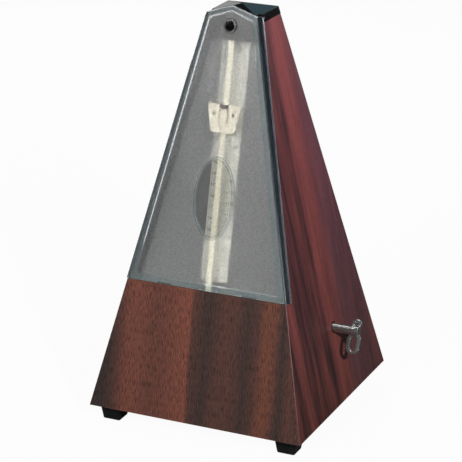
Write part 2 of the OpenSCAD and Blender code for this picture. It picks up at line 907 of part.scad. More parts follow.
// Pillars with a turned spigot and a riveted end at each plate
module pillars() color("#b08d3c")
    pillar_places() {
        along_x(plate_in_l, plate_in_r, pillar_r);
        along_x(-plate_left - rivet_head_h / 2, plate_right + rivet_head_h / 2, spigot_r);
        along_x(-plate_left - rivet_head_h, -plate_left, rivet_head_r);
        along_x(plate_right, plate_right + rivet_head_h, rivet_head_r);
    }

module movement_screws() color("#b8babc")
    movement_screw_places()
        screw(screw_r, base_t + plate_t + 2);

// Bar between the plates that carries the front of the pendulum arbor
module front_bearing() color("#c2a350")
    difference() {
        translate([plate_in_l, -plate_front, pivot_z - bearing_half])
            cube([plate_in_r - plate_in_l, bearing_t, 2 * bearing_half]);
        along_y(-far / 2, 0, verge_r + run_gap, 0, pivot_z);
    }

// Block on the left plate that carries the back of the pendulum arbor
module rear_bearing() color("#c2a350")
    difference() {
        translate([plate_in_l, crown_r - crown_y + 2, pivot_z - cock_half])
            cube([great_x - 4 * side_gap - plate_in_l, bearing_t, 2 * cock_half]);
        along_y(-far / 2, far / 2, verge_r + run_gap, 0, pivot_z);
    }

// Inner plate on two posts, between the intermediate wheel and the crown wheel
module escape_bridge() color("#c2a350")
    difference() {
        union() {
            translate([bridge_x, -crown_y - bridge_half, pivot_z - bearing_half])
                cube([wheel_t, 2 * bridge_half, bearing_half + post_up + post_r + side_gap]);
            for (s = [-1, 1])
                along_x(plate_in_l, bridge_x + eps, post_r, s * post_off - crown_y, pivot_z + post_up);
        }
        along_x(-far, 0, pivot_r + run_gap, -crown_y, pivot_z);
    }

module click_post() color("#b8babc") {
    head_x = ratchet_x + ratchet_t + end_play;
    along_x(plate_in_r - rivet_head_h / 2, head_x + rivet_head_h / 2, click_pin_r, click_y, click_z);
    along_x(head_x, head_x + rivet_head_h, rivet_head_r, click_y, click_z);
}

// Bent leaf on a stud, its free end above the click
module click_spring() color("#8f9396") {
    foot = 2 * spring_pin_r;
    // The leaf's tip stays clear of the eye's top by more than the click's lift there
    tip_z = click_z + click_eye_r + 0.9;
    along_x(plate_in_r - rivet_head_h / 2, ratchet_x + ratchet_t, spring_pin_r, leaf_pin_y, leaf_pin_z);
    side_plate(ratchet_x, ratchet_t)
        polygon([
            [leaf_pin_y - foot, leaf_pin_z - foot], [leaf_pin_y + foot, leaf_pin_z - foot],
            [leaf_pin_y + 1.2 * foot, leaf_pin_z + foot - 2 * leaf_t], [click_y, tip_z],
            [click_y, tip_z + leaf_t], [leaf_pin_y + 1.2 * foot, leaf_pin_z + foot],
            [leaf_pin_y - foot, leaf_pin_z + foot]
        ]);
}

// ---------------------------------------------------------------- winding

module winding_arbor() color("#b8babc") {
    along_x(-plate_left, plate_in_l + end_play, thread_r, wind_y, wind_z);
    along_x(plate_in_l + end_play, hub_in - end_play, wind_r, wind_y, wind_z);
    along_x(hub_in - end_play - eps, hub_out - hub_end - end_play, thread_r, wind_y, wind_z);
}

// Saw teeth with one radial face each
module ratchet_outline() {
    polygon([
        for (i = [0:ratchet_teeth - 1])
            for (p = [ratchet_r, ratchet_r - ratchet_d])
                p * [cos(i * 360 / ratchet_teeth), sin(i * 360 / ratchet_teeth)]
    ]);
}

module ratchet_wheel() color("#8f9396")
    side_plate(ratchet_x, ratchet_t)
        translate([wind_y, wind_z])
            difference() {
                ratchet_outline();
                circle(r = wind_r + run_gap);
            }

// Pawl whose nose stands against a ratchet tooth at the top of the wheel
module click() color("#8f9396")
    side_plate(ratchet_x, ratchet_t)
        difference() {
            union() {
                translate([click_y, click_z])
                    circle(r = click_eye_r);
                translate([wind_y, wind_z])
                    polygon([
                        [-click_gap, ratchet_r - ratchet_d + click_gap], [-click_gap, ratchet_r + 1.2],
                        [2 - click_ahead, click_up + click_eye_r - 0.5],
                        [-click_ahead, click_up - click_eye_r + 0.3], [-2.6, ratchet_r + click_gap]
                    ]);
            }
            translate([click_y, click_z])
                circle(r = click_pin_r + run_gap);
        }

// Hub and boss on the arbor's end, with a flat two-loop grip through the boss
module winding_key() color("#d5d8da")
    translate([0, wind_y, wind_z])
        rotate([-key_lean, 0, 0])
            difference() {
                union() {
                    along_x(hub_in, hub_out, key_hub_r);
                    along_x(grip_x - boss_l / 2, grip_x + boss_l / 2, boss_r);
                    translate([grip_x, grip_t / 2, 0])
                        rotate([90, 0, 0])
                            linear_extrude(grip_t)
                                grip_outline();
                }
                along_x(0, hub_out - hub_end, thread_r + run_gap);
            }

// Big loop below and small loop above, seen along the grip's thickness
module grip_outline() {
    difference() {
        union() {
            loop(big_loop_r, -grip_down, -1);
            loop(small_loop_r, 1, grip_up);
        }
        loop(big_loop_r - loop_w, -grip_down + loop_w, -boss_r - 0.3);
        loop_hole(small_loop_r - loop_w);
    }
}

// Upright stadium between two heights
module loop(r, low, high) {
    translate([0, low + r])
        circle(r = r);
    translate([0, max(high - r, low + r)])
        circle(r = r);
    translate([-r, low + r])
        square([2 * r, max(high - low - 2 * r, eps)]);
}

module loop_hole(r) {
    translate([0, grip_up - loop_w - r])
        circle(r = r);
}

// ---------------------------------------------------------------- barrel and train

module great_wheel() color("#c2a350")
    gear(great_teeth, great_module, great_x, wheel_t, wind_y, wind_z, mid_bearing, wind_r + run_gap);

module barrel_drum() color("#c2a350")
    difference() {
        along_x(barrel_x, barrel_x + barrel_l - barrel_t, barrel_r, wind_y, wind_z);
        along_x(barrel_x + barrel_t, barrel_x + barrel_l, barrel_r - barrel_t, wind_y, wind_z);
        along_x(0, far, wind_r + run_gap, wind_y, wind_z);
    }

module barrel_lid() color("#b08d3c")
    difference() {
        along_x(barrel_x + barrel_l - barrel_t, barrel_x + barrel_l, barrel_r, wind_y, wind_z);
        along_x(0, far, wind_r + run_gap, wind_y, wind_z);
    }

// Spiral strip from the arbor's side to the drum's wall
module mainspring() color("#5d6468") {
    r0 = wind_r + 1;
    r1 = barrel_r - barrel_t - spring_t;
    steps = spring_turns * 18;
    at = function(i, add) (r0 + (r1 - r0) * i / steps + add) * [cos(i * 20), sin(i * 20)];
    side_plate(barrel_x + barrel_t + 0.3, barrel_l - 2 * barrel_t - 0.6)
        translate([wind_y, wind_z])
            polygon(concat(
                [for (i = [0:steps]) at(i, 0)],
                [for (i = [steps:-1:0]) at(i, spring_t)]
            ));
}

// Phases that put a tooth of each wheel into a gap of its pinion at rest
mid_bearing = atan2(mid_z - wind_z, mid_y - wind_y);
mid_pinion_phase = mid_bearing + 180 + 180 / mid_leaves;
escape_bearing = atan2(pivot_z - mid_z, -crown_y - mid_y);
escape_pinion_phase = escape_bearing + 180 + 180 / escape_leaves;

module mid_arbor() color("#b8babc") {
    along_x(-plate_left, plate_right, pivot_r, mid_y, mid_z);
    along_x(plate_in_l + end_play, plate_in_r - end_play, arbor_r, mid_y, mid_z);
    gear(mid_leaves, great_module, great_x - pinion_over, wheel_t + 2 * pinion_over, mid_y, mid_z,
        mid_pinion_phase, eps);
}

module mid_wheel() color("#c2a350")
    gear(mid_teeth, mid_module, mid_wheel_x, wheel_t, mid_y, mid_z, escape_bearing, arbor_r + run_gap);

module escape_arbor() color("#b8babc") {
    along_x(-plate_left, bridge_x + wheel_t, pivot_r, -crown_y, pivot_z);
    along_x(plate_in_l + end_play, bridge_x - end_play, arbor_r * 0.8, -crown_y, pivot_z);
    along_x(bridge_x + wheel_t - eps, crown_disc_x + crown_disc_t + side_gap, pivot_r, -crown_y, pivot_z);
    gear(escape_leaves, mid_module, mid_wheel_x - pinion_over, wheel_t + 2 * pinion_over, -crown_y, pivot_z,
        escape_pinion_phase, eps);
}

// Disc and rim, with saw teeth that point at the pendulum arbor
module crown_wheel() color("#c2a350") {
    tip_x = -crown_x;
    difference() {
        along_x(crown_disc_x, tip_x, crown_r, -crown_y, pivot_z);
        along_x(crown_disc_x + crown_disc_t, tip_x + 1, crown_r - crown_rim_w, -crown_y, pivot_z);
        along_x(crown_disc_x - 1, tip_x, pivot_r + run_gap, -crown_y, pivot_z);
        translate([0, -crown_y, pivot_z])
            for (i = [0:crown_teeth - 1])
                rotate([i * 360 / crown_teeth, 0, 0])
                    crown_notch(tip_x);
    }
}

// One gap between two saw teeth, cut radially through the rim
module crown_notch(tip_x) {
    inner_r = crown_r - crown_rim_w;
    gap = 0.84 * 2 * PI * inner_r / crown_teeth;
    over = 0.2;
    translate([0, 0, inner_r * cos(360 / crown_teeth)])
        linear_extrude(3 * crown_rim_w)
            polygon([
                [tip_x - crown_tooth_h, 0], [tip_x + over, 0],
                [tip_x + over, gap * (1 + over / crown_tooth_h)]
            ]);
}

// ---------------------------------------------------------------- pendulum

// Flat rod with tempo notches down both edges
module pendulum_rod() color("#e6e1cf") {
    h = rod_w / 2;
    notch_w = 0.8;
    starts = [for (i = [0:notch_count - 1]) up(notch_low_z) + i * notch_pitch];
    edge = [for (v = starts) each [[h, v], [h - notch_d, v], [h - notch_d, v + notch_w], [h, v + notch_w]]];
    points = len(edge);
    on_front()
        translate([0, 0, -rod_d - rod_t / 2])
            linear_extrude(rod_t)
                polygon(concat(
                    [[h, up(rod_low_z)]], edge, [[h, up(rod_top_z)], [-h, up(rod_top_z)]],
                    [for (i = [points - 1:-1:0]) [-edge[i][0], edge[i][1]]], [[-h, up(rod_low_z)]]
                ));
}

// Boss on the arbor's front end; its face lies flat on the back of the rod
module rod_hub() color("#b08d3c")
    difference() {
        along_y(deep_y(pivot_z, rod_d + rod_t / 2) - 3, -plate_front - 0.8, hub_r, 0, pivot_z);
        front_slab(-far / 4, rod_d + rod_t / 2);
        along_y(-far / 2, 0, verge_r + run_gap, 0, pivot_z);
    }

module pendulum_arbor() color("#b8babc")
    difference() {
        along_y(deep_y(pivot_z, rod_d + rod_t / 2) - 2, crown_r - crown_y + 5.5, verge_r, 0, pivot_z);
        front_slab(-far / 4, rod_d + rod_t / 2);
    }

// Two flags on a sleeve, one at each side of the crown wheel
module pallets() color("#8f9396") {
    difference() {
        along_y(-crown_y - crown_r - 1, -crown_y + crown_r + 1, verge_r + 0.9, 0, pivot_z);
        along_y(-far / 2, far / 2, verge_r + run_gap, 0, pivot_z);
    }
    for (s = [-1, 1])
        translate([0, -crown_y + s * (crown_r - crown_rim_w / 2), pivot_z])
            rotate([0, 180 + s * pallet_angle, 0])
                translate([verge_r + 0.5, -pallet_w / 2, -pallet_t / 2])
                    cube([pallet_l - verge_r - 0.5, pallet_w, pallet_t]);
}

// Round weight behind the rod's lower end
module bob() color("#4c4f52")
    on_front()
        translate([0, up(bob_z), -rod_d - rod_t / 2 - bob_t])
            cylinder(h = bob_t, r = bob_r);

// ---------------------------------------------------------------- sliding weight

// Trapezoid outline of the weight, wide end up, centred on its middle
module weight_outline() {
    polygon([
        [-weight_low_w / 2, -weight_h / 2], [weight_low_w / 2, -weight_h / 2],
        [weight_top_w / 2, weight_h / 2], [-weight_top_w / 2, weight_h / 2]
    ]);
}

module at_weight(d) {
    on_front()
        translate([0, up(weight_z), -d])
            children();
}

module rivet_places() {
    for (s = [-1, 1])
        translate([s * rivet_x, 2, 0])
            children();
}

// Front plate; two slits and a notch leave a spring tongue over the rod
module weight_front() color("#ece6d2")
    at_weight(weight_front_d + weight_front_t)
        difference() {
            linear_extrude(weight_front_t)
                difference() {
                    weight_outline();
                    for (s = [-1, 1])
                        translate([s * (tongue_w + slit_w) / 2 - slit_w / 2, weight_h / 2 - slit_l])
                            square([slit_w, slit_l + 1]);
                    translate([-tongue_w / 2 - eps, weight_h / 2 - 2])
                        square([tongue_w + 2 * eps, 3]);
                }
            rivet_places()
                cylinder(h = 3 * weight_front_t, r = rivet_r + run_gap, center = true);
        }

// Back plate with the channel that the rod runs in
module weight_back() color("#d9d4c2")
    at_weight(weight_front_d + weight_front_t + weight_back_t)
        difference() {
            linear_extrude(weight_back_t)
                weight_outline();
            translate([-rod_w / 2 - weight_gap, -weight_h, weight_back_t - channel_d])
                cube([rod_w + 2 * weight_gap, 2 * weight_h, channel_d + 1]);
            rivet_places()
                cylinder(h = 3 * weight_back_t, r = rivet_r + run_gap, center = true);
        }

module weight_rivets() color("#77736a")
    at_weight(weight_front_d + weight_front_t + weight_back_t)
        rivet_places()
            translate([0, 0, -0.3])
                cylinder(h = weight_front_t + weight_back_t + 0.2, r = rivet_r);

// ---------------------------------------------------------------- nodes

case_shell();
top_cap();
cover_stud();
base_plate();
foot_front_left();
foot_front_right();
foot_rear_left();
foot_rear_right();
foot_screws();
scale_board();
scale_plate();
board_screws();
rod_catch();
left_plate();
right_plate();
pillars();
movement_screws();
front_bearing();
rear_bearing();
escape_bridge();
click_post();
click_spring();
front_cover();
winding_key();
winding_arbor();
ratchet_wheel();
click();
great_wheel();
barrel_drum();
barrel_lid();
mainspring();
mid_arbor();
mid_wheel();
escape_arbor();
crown_wheel();
pendulum_rod();
rod_hub();
pendulum_arbor();
pallets();
bob();
weight_front();
weight_back();
weight_rivets();
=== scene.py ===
"""Wind-up pyramid metronome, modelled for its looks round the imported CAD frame.

Sizes in the classes are in millimetres, as a maker would read them off a drawing. Each piece is
built in millimetres and turned into metres when it is set in its place.
"""

import logging
import math
from dataclasses import dataclass, field
from enum import Enum
from typing import Any, Callable, NamedTuple, Sequence

import bmesh
import bpy
from mathutils import Matrix, Vector


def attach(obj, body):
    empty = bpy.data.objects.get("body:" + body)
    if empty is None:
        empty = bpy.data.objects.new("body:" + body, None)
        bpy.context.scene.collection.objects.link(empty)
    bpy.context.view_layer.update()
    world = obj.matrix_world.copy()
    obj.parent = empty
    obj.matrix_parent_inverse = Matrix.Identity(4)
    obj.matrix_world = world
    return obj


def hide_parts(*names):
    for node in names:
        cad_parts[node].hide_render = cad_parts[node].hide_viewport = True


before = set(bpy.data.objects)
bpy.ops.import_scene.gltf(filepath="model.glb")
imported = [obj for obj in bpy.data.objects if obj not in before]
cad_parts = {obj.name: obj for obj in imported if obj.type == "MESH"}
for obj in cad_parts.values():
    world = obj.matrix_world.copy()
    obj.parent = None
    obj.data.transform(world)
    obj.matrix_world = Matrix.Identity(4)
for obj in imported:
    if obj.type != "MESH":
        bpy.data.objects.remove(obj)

LOG = logging.getLogger("metronome")
MM = 0.001
NEAR = 0.02
WHITE = (1.0, 1.0, 1.0)
Colour = tuple[float, float, float]
Place = Callable[[Vector, Vector], bool]


# ------------------------------------------------------------------ drawing frame


@dataclass(frozen=True)
class CasePlan:
    """The pyramid's leading sizes, in millimetres, and the frame of its leaning front face."""

    base_half: float = 60.5
    low_z: float = 9.0
    eave_z: float = 216.8
    eave_half: float = 14.2
    eave_front: float = 12.4
    band: float = 4.0

    @property
    def side_run(self) -> float:
        """Inward run of the side and rear faces for each unit of height."""
        return (self.base_half - self.eave_half) / (self.eave_z - self.low_z)

    @property
    def front_run(self) -> float:
        """Inward run of the front face for each unit of height."""
        return (self.base_half - self.eave_front) / (self.eave_z - self.low_z)

    @property
    def lean(self) -> float:
        """Lean of the front face from upright, in radians."""
        return math.atan(self.front_run)

    def half(self, z: float) -> float:
        """Half width of the case at a height."""
        return self.base_half - self.side_run * (z - self.low_z)

    def front(self, z: float) -> float:
        """Y of the front face at a height."""
        return self.front_run * (z - self.low_z) - self.base_half

    def front_matrix(self, up: float = 0.0, out: float = 0.0) -> Matrix:
        """The front face's frame: X across, Y up the slope and Z outwards, from its lower edge.

        Args:
            up: Moves the frame up the slope.
            out: Moves it outwards.

        Returns:
            The frame, in millimetres.
        """
        turn = Matrix.Rotation(math.pi / 2 - self.lean, 4, "X")
        foot = Matrix.Translation((0, -self.base_half, self.low_z)) @ turn
        return foot @ Matrix.Translation((0, up, out))

    def cover_half(self, up: float, out: float) -> float:
        """Half width between side faces that stand out as far, in the front face's frame."""
        return self.half(self.low_z + up * math.cos(self.lean) + out * math.sin(self.lean)) + out


PLAN = CasePlan()


class Domain(Enum):
    """What a selection is made of."""

    VERT = "VERT"
    EDGE = "EDGE"


class Axis(Enum):
    """An axis of the object's own frame."""

    X = 0
    Y = 1
    Z = 2


# ------------------------------------------------------------------ bench tools


class Workpiece:
    """A mesh on the bench, shaped with Blender's own operators and then set in its place."""

    def __init__(self, name: str) -> None:
        """Takes the primitive that was just added.

        Args:
            name: The finished piece's name.
        """
        self.obj: bpy.types.Object = bpy.context.active_object
        self.obj.name = name
        self.obj.data.name = name

    @staticmethod
    def clear_bench() -> None:
        """Leaves edit mode and deselects everything."""
        if bpy.context.active_object and bpy.context.active_object.mode != "OBJECT":
            bpy.ops.object.mode_set(mode="OBJECT")
        bpy.ops.object.select_all(action="DESELECT")

    @classmethod
    def add(cls, name: str, primitive: Callable[..., Any], **settings: Any) -> "Workpiece":
        """Adds a primitive and opens it for editing.

        Args:
            name: The piece's name.
            primitive: Blender's operator that adds it.
            **settings: The operator's settings.

        Returns:
            The new workpiece, in edit mode.
        """
        cls.clear_bench()
        primitive(**settings)
        piece = cls(name)
        piece.edit()
        return piece

    @classmethod
    def block(cls, name: str, low: Sequence[float], high: Sequence[float]) -> "Workpiece":
        """Adds a block between two corners.

        Args:
            name: The piece's name.
            low: Its lowest corner.
            high: Its highest corner.

        Returns:
            The new workpiece, in edit mode.
        """
        piece = cls.add(name, bpy.ops.mesh.primitive_cube_add, size=1)
        piece.resize([h - l for l, h in zip(low, high)])
        piece.move([(h + l) / 2 for l, h in zip(low, high)])
        return piece

    @classmethod
    def rod(cls, name: str, radius: float, low: float, high: float, sides: int = 48) -> "Workpiece":
        """Adds a capped rod along Z.

        Args:
            name: The piece's name.
            radius: The rod's radius.
            low: Height of its lower end.
            high: Height of its upper end.
            sides: How many sides it has.

        Returns:
            The new workpiece, in edit mode.
        """
        add = bpy.ops.mesh.primitive_cylinder_add
        piece = cls.add(name, add, vertices=sides, radius=radius, depth=high - low)
        piece.move((0, 0, (low + high) / 2))
        return piece

    @classmethod
    def outline(
        cls, name: str, points: Sequence[Sequence[float]], filled: bool = True
    ) -> "Workpiece":
        """Draws from point to point by pulling one corner along.

        Args:
            name: The piece's name.
            points: The outline's corners, in order.
            filled: Closes the outline with a face; otherwise only with an edge.

        Returns:
            The new workpiece, in edit mode, with everything selected.
        """
        piece = cls.add(name, bpy.ops.mesh.primitive_plane_add, size=1)
        bpy.ops.mesh.merge(type="CENTER")
        corners = [Vector(point) for point in points]
        piece.move(corners[0])
        for start, end in zip(corners, corners[1:]):
            step = {"value": tuple(end - start)}
            bpy.ops.mesh.extrude_vertices_move(TRANSFORM_OT_translate=step)
        if filled:
            bpy.ops.mesh.select_all(action="SELECT")
        else:
            ends = (corners[0], corners[-1])
            piece.pick(Domain.VERT, lambda at, way: min((at - end).length for end in ends) < 1e-5)
        bpy.ops.mesh.edge_face_add()
        bpy.ops.mesh.select_all(action="SELECT")
        return piece

    @classmethod
    def lathe(cls, name: str, profile: Sequence[tuple[float, float]], steps: int) -> "Workpiece":
        """Spins an outline round Z.

        Args:
            name: The piece's name.
            profile: Points (radius, height) of a closed outline, or from the axis to the axis.
            steps: How many steps a full turn takes.

        Returns:
            The new workpiece, in edit mode, closed and facing outwards.
        """
        piece = cls.outline(name, [(radius, 0, height) for radius, height in profile], False)
        if min(point[0] for point in profile) < 1e-6:
            piece.pick(Domain.EDGE, lambda at, way: abs(at.x) < 1e-6)
            bpy.ops.mesh.delete(type="EDGE_FACE")
        bpy.ops.mesh.select_all(action="SELECT")
        bpy.ops.mesh.spin(
            steps=steps, angle=2 * math.pi, center=(0, 0, 0), axis=(0, 0, 1), use_auto_merge=True
        )
        piece.close_up()
        return piece

    @classmethod
    def from_shape(cls, name: str) -> "Workpiece":
        """Turns the active curve or text into a mesh, with its place in the mesh.

        Args:
            name: The piece's name.

        Returns:
            The new workpiece, in object mode.
        """
        bpy.ops.object.convert(target="MESH")
        bpy.ops.object.transform_apply(location=True, rotation=False, scale=False)
        return cls(name)

    @classmethod
    def copy_of(cls, node: str, name: str) -> "Workpiece":
        """Copies a CAD node in millimetres and merges its flats.

        Args:
            node: The CAD node.
            name: The piece's name.

        Returns:
            The new workpiece, in edit mode.
        """
        cls.clear_bench()
        obj = bpy.data.objects.new(name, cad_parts[node].data.copy())
        bpy.context.scene.collection.objects.link(obj)
        bpy.context.view_layer.objects.active = obj
        piece = cls(name)
        piece.shut()
        bpy.ops.mesh.customdata_custom_splitnormals_clear()
        piece.edit()
        piece.resize((1 / MM, 1 / MM, 1 / MM))
        piece.close_up()
        bpy.ops.mesh.dissolve_limited(angle_limit=math.radians(0.5))
        return piece

    def edit(self) -> None:
        """Opens the piece for editing, with everything selected."""
        bpy.context.view_layer.objects.active = self.obj
        self.obj.select_set(True)
        if self.obj.mode != "EDIT":
            bpy.ops.object.mode_set(mode="EDIT")
        bpy.ops.mesh.select_mode(type="VERT")
        bpy.ops.mesh.select_all(action="SELECT")

    def shut(self) -> None:
        """Leaves edit mode with the piece active and selected alone."""
        self.clear_bench()
        bpy.context.view_layer.objects.active = self.obj
        self.obj.select_set(True)

    def pick(self, domain: Domain, test: Place) -> int:
        """Selects the elements that a test holds for, and nothing else.

        Args:
            domain: Edges or vertices.
            test: Takes an element's middle, and a vertex's normal or an edge's direction.

        Returns:
            How many elements were selected.
        """
        bpy.ops.mesh.select_mode(type=domain.value)
        bpy.ops.mesh.select_all(action="DESELECT")
        mesh = bmesh.from_edit_mesh(self.obj.data)
        mesh.normal_update()
        if domain is Domain.EDGE:
            ends = [(edge, edge.verts[0].co, edge.verts[1].co) for edge in mesh.edges]
            found = [(edge, (a + b) / 2, (b - a).normalized()) for edge, a, b in ends]
        else:
            found = [(vert, vert.co.copy(), vert.normal) for vert in mesh.verts]
        chosen = [element for element, at, way in found if test(at, way)]
        for element in chosen:
            element.select_set(True)
        mesh.select_flush_mode()
        bmesh.update_edit_mesh(self.obj.data)
        return len(chosen)

    def move(self, by: Sequence[float]) -> None:
        """Moves what is selected."""
        bpy.ops.transform.translate(value=tuple(by))

    def carry(self, by: Sequence[float]) -> "Workpiece":
        """Moves the whole piece.

        Args:
            by: How far.

        Returns:
            The same workpiece.
        """
        self.edit()
        self.move(by)
        return self

    def turn(self, axis: Axis) -> None:
        """Turns what is selected by a quarter about an axis."""
        bpy.ops.transform.rotate(
            value=math.pi / 2, orient_axis=axis.name, center_override=(0, 0, 0)
        )

    def resize(self, by: Sequence[float]) -> None:
        """Scales what is selected about the origin."""
        bpy.ops.transform.resize(value=tuple(by), center_override=(0, 0, 0))

    def extrude(self, up: float) -> None:
        """Extrudes what is selected along Z."""
        bpy.ops.mesh.extrude_region_move(TRANSFORM_OT_translate={"value": (0, 0, up)})

    def bevel(self, width: float, segments: int) -> None:
        """Rounds the selected edges."""
        bpy.ops.mesh.bevel(offset=width, segments=segments, affect="EDGES", clamp_overlap=True)

    def slice(self, z: float, side: int = 0) -> None:
        """Cuts the whole piece level at a height.

        Args:
            z: The height.
            side: 1 drops what is above, -1 what is below, and closes the cut; 0 keeps both.
        """
        bpy.ops.mesh.select_all(action="SELECT")
        bpy.ops.mesh.bisect(
            plane_co=(0, 0, z), plane_no=(0, 0, side or 1), use_fill=side != 0,
            clear_outer=side != 0,
        )

    def close_up(self) -> None:
        """Merges doubles and turns every face outwards."""
        bpy.ops.mesh.select_all(action="SELECT")
        bpy.ops.mesh.remove_doubles(threshold=1e-4)
        bpy.ops.mesh.normals_make_consistent(inside=False)

    def apply(self, kind: str, **settings: Any) -> None:
        """Adds a modifier and applies it.

        Args:
            kind: Blender's name for the modifier's type.
            **settings: The modifier's own settings.
        """
        self.shut()
        modifier = self.obj.modifiers.new(kind.lower(), kind)
        for key, value in settings.items():
            setattr(modifier, key, value)
        bpy.ops.object.modifier_apply(modifier=modifier.name)

    def cut(self, tool: "Workpiece", operation: str = "DIFFERENCE") -> None:
        """Cuts another workpiece's shape out of this one, and throws the cutter away.

        Args:
            tool: The other workpiece.
            operation: Blender's name for what to do with the two shapes.
        """
        tool.shut()
        self.apply("BOOLEAN", object=tool.obj, operation=operation, solver="EXACT")
        bpy.data.objects.remove(tool.obj)

    def fuse(self, tool: "Workpiece") -> None:
        """Adds another workpiece's shape to this one's, as one skin."""
        self.cut(tool, "UNION")

    def colour(self, choose: Callable[[Vector, Vector], int]) -> None:
        """Gives each face its material.

        Args:
            choose: Takes a face's middle and normal, and gives its material's index.
        """
        self.shut()
        for face in self.obj.data.polygons:
            face.material_index = choose(face.center, face.normal)

    def join(self, other: "Workpiece") -> None:
        """Takes another workpiece into this one's mesh, without merging their shapes.

        Args:
            other: The other workpiece.
        """
        other.shut()
        self.shut()
        other.obj.select_set(True)
        bpy.ops.object.join()

    def soften(self, width: float, segments: int = 2, angle: float = 30.0) -> None:
        """Rounds every sharp edge and shades the flats flat.

        Args:
            width: The rounding's width.
            segments: Its segments.
            angle: Edges sharper than this many degrees are rounded.
        """
        self.apply(
            "BEVEL", width=width, segments=segments, limit_method="ANGLE",
            angle_limit=math.radians(angle), use_clamp_overlap=True, miter_outer="MITER_ARC",
        )
        self.shade()

    def shade(self, angle: float = 40.0, flat: float = 8.0) -> None:
        """Smooths the rounded edges and keeps the flats flat.

        Args:
            angle: Edges sharper than this many degrees stay sharp.
            flat: Faces larger than this many square millimetres are flats.
        """
        self.shut()
        bpy.ops.mesh.customdata_custom_splitnormals_clear()
        bpy.ops.object.shade_smooth_by_angle(angle=math.radians(angle))
        for face in self.obj.data.polygons:
            face.use_smooth = face.use_smooth and face.area < flat

    def dress(
        self, materials: Sequence[bpy.types.Material], body: str, slot: str, *nodes: str,
        place: Matrix = Matrix.Identity(4),
    ) -> None:
        """Sets the piece in its place in metres, dresses it and hides the CAD nodes it stands for.

        Args:
            materials: Its materials, in the order of its mesh's material indices.
            body: The CAD body it rides on.
            slot: The record's material slot. It is not used.
            *nodes: The CAD nodes it stands for.
            place: The frame that the piece was built in, in millimetres.
        """
        self.shut()
        obj = self.obj
        obj.matrix_world = Matrix.Scale(MM, 4) @ place
        bpy.context.view_layer.update()
        bpy.ops.object.transform_apply(location=True, rotation=True, scale=True)
        indices = [face.material_index for face in obj.data.polygons]
        obj.data.materials.clear()
        for material in materials:
            obj.data.materials.append(material)
        obj.data.polygons.foreach_set("material_index", indices)
        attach(obj, body)
        if nodes:
            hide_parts(*nodes)
        LOG.info("%s rides on %s with %d faces", obj.name, body, len(obj.data.polygons))


# ------------------------------------------------------------------ shader tools


class NodeSheet:
    """Adds nodes to the tree of a material, a world or a group, and wires them as it goes."""

    def __init__(self, tree: bpy.types.NodeTree) -> None:
        """Takes the tree to draw on."""
        self.tree = tree

    @classmethod
    def of(cls, owner: bpy.types.Material | bpy.types.World) -> "NodeSheet":
        """Clears the tree of a material or a world.

        Args:
            owner: The material or world.

        Returns:
            A sheet to draw on.
        """
        owner.use_nodes = True
        owner.node_tree.nodes.clear()
        return cls(owner.node_tree)

    def add(self, kind: str, inputs: dict[str | int, Any] | None = None, **settings: Any) -> Any:
        """Adds a node.

        Args:
            kind: The node's type name, without its ShaderNode prefix.
            inputs: Values or sockets for its inputs.
            **settings: The node's own settings.

        Returns:
            The node.
        """
        node = self.tree.nodes.new("ShaderNode" + kind)
        for key, value in settings.items():
            setattr(node, key, value)
        for key, value in (inputs or {}).items():
            if isinstance(value, bpy.types.NodeSocket):
                self.tree.links.new(value, node.inputs[key])
            else:
                node.inputs[key].default_value = value
        return node

    def math(self, kind: str, a: Any, b: Any = 0.0, c: Any = 0.0) -> Any:
        """Does one step of arithmetic and gives its result's socket."""
        return self.add("Math", {0: a, 1: b, 2: c}, operation=kind).outputs[0]

    def part(self, place: Any, axis: Axis) -> Any:
        """Takes a place's part along one axis and gives its socket."""
        return self.add("SeparateXYZ", {0: place}).outputs[axis.value]

    def span(self, value: Any, low: float, high: float, start: float = 0, end: float = 1) -> Any:
        """Maps one range onto another, held at its ends, and gives the result's socket."""
        return self.add("MapRange", {0: value, 1: low, 2: high, 3: start, 4: end}).outputs[0]

    def mix(self, share: Any, a: Any, b: Any, blend: str = "MIX") -> Any:
        """Mixes two colours and gives the result's socket."""
        inputs = {0: share, 6: a, 7: b}
        return self.add("Mix", inputs, data_type="RGBA", blend_type=blend).outputs[2]

    def both(self, share: Any, a: Any, b: Any) -> Any:
        """Mixes two shaders and gives the result's socket."""
        return self.add("MixShader", {0: share, 1: a, 2: b}).outputs[0]

    def ray(self, kind: str) -> Any:
        """Tells one kind of ray from the others, and gives the answer's socket."""
        return self.add("LightPath").outputs[f"Is {kind} Ray"]

    def ramp(self, value: Any, stops: Sequence[tuple[float, Any]]) -> Any:
        """Reads a colour off a straight ramp.

        Args:
            value: The place on the ramp.
            stops: Pairs of a position and a grey or a colour.

        Returns:
            The colour's socket.
        """
        node = self.add("ValToRGB", {0: value})
        elements = node.color_ramp.elements
        while len(elements) < len(stops):
            elements.new(0.5)
        for element, (position, shade) in zip(elements, sorted(stops, key=lambda stop: stop[0])):
            element.position = position
            element.color = paint(shade if isinstance(shade, tuple) else (shade, shade, shade))
        return node.outputs[0]

    def noise(self, where: Any, scale: Any, detail: float = 3.0, rough: float = 0.5) -> Any:
        """Adds a noise texture and gives its value's socket."""
        inputs = {"Vector": where, "Scale": scale, "Detail": detail, "Roughness": rough}
        return self.add("TexNoise", inputs).outputs[0]

    def stretch(self, where: Any, scale: Sequence[float], turn: Sequence[float] = (0, 0, 0)) -> Any:
        """Turns and then scales a place, and gives the result's socket."""
        turned = self.add("Mapping", {"Vector": where, "Rotation": tuple(turn)}).outputs[0]
        return self.add("Mapping", {"Vector": turned, "Scale": tuple(scale)}).outputs[0]


def paint(colour: Colour) -> tuple[float, float, float, float]:
    """Gives a colour with full alpha."""
    return (colour[0], colour[1], colour[2], 1.0)


def shift(colour: Colour, gain: float, lift: float = 0.0) -> Colour:
    """Makes a colour lighter or darker, up to white."""
    return tuple(min(1.0, part * gain + lift) for part in colour)


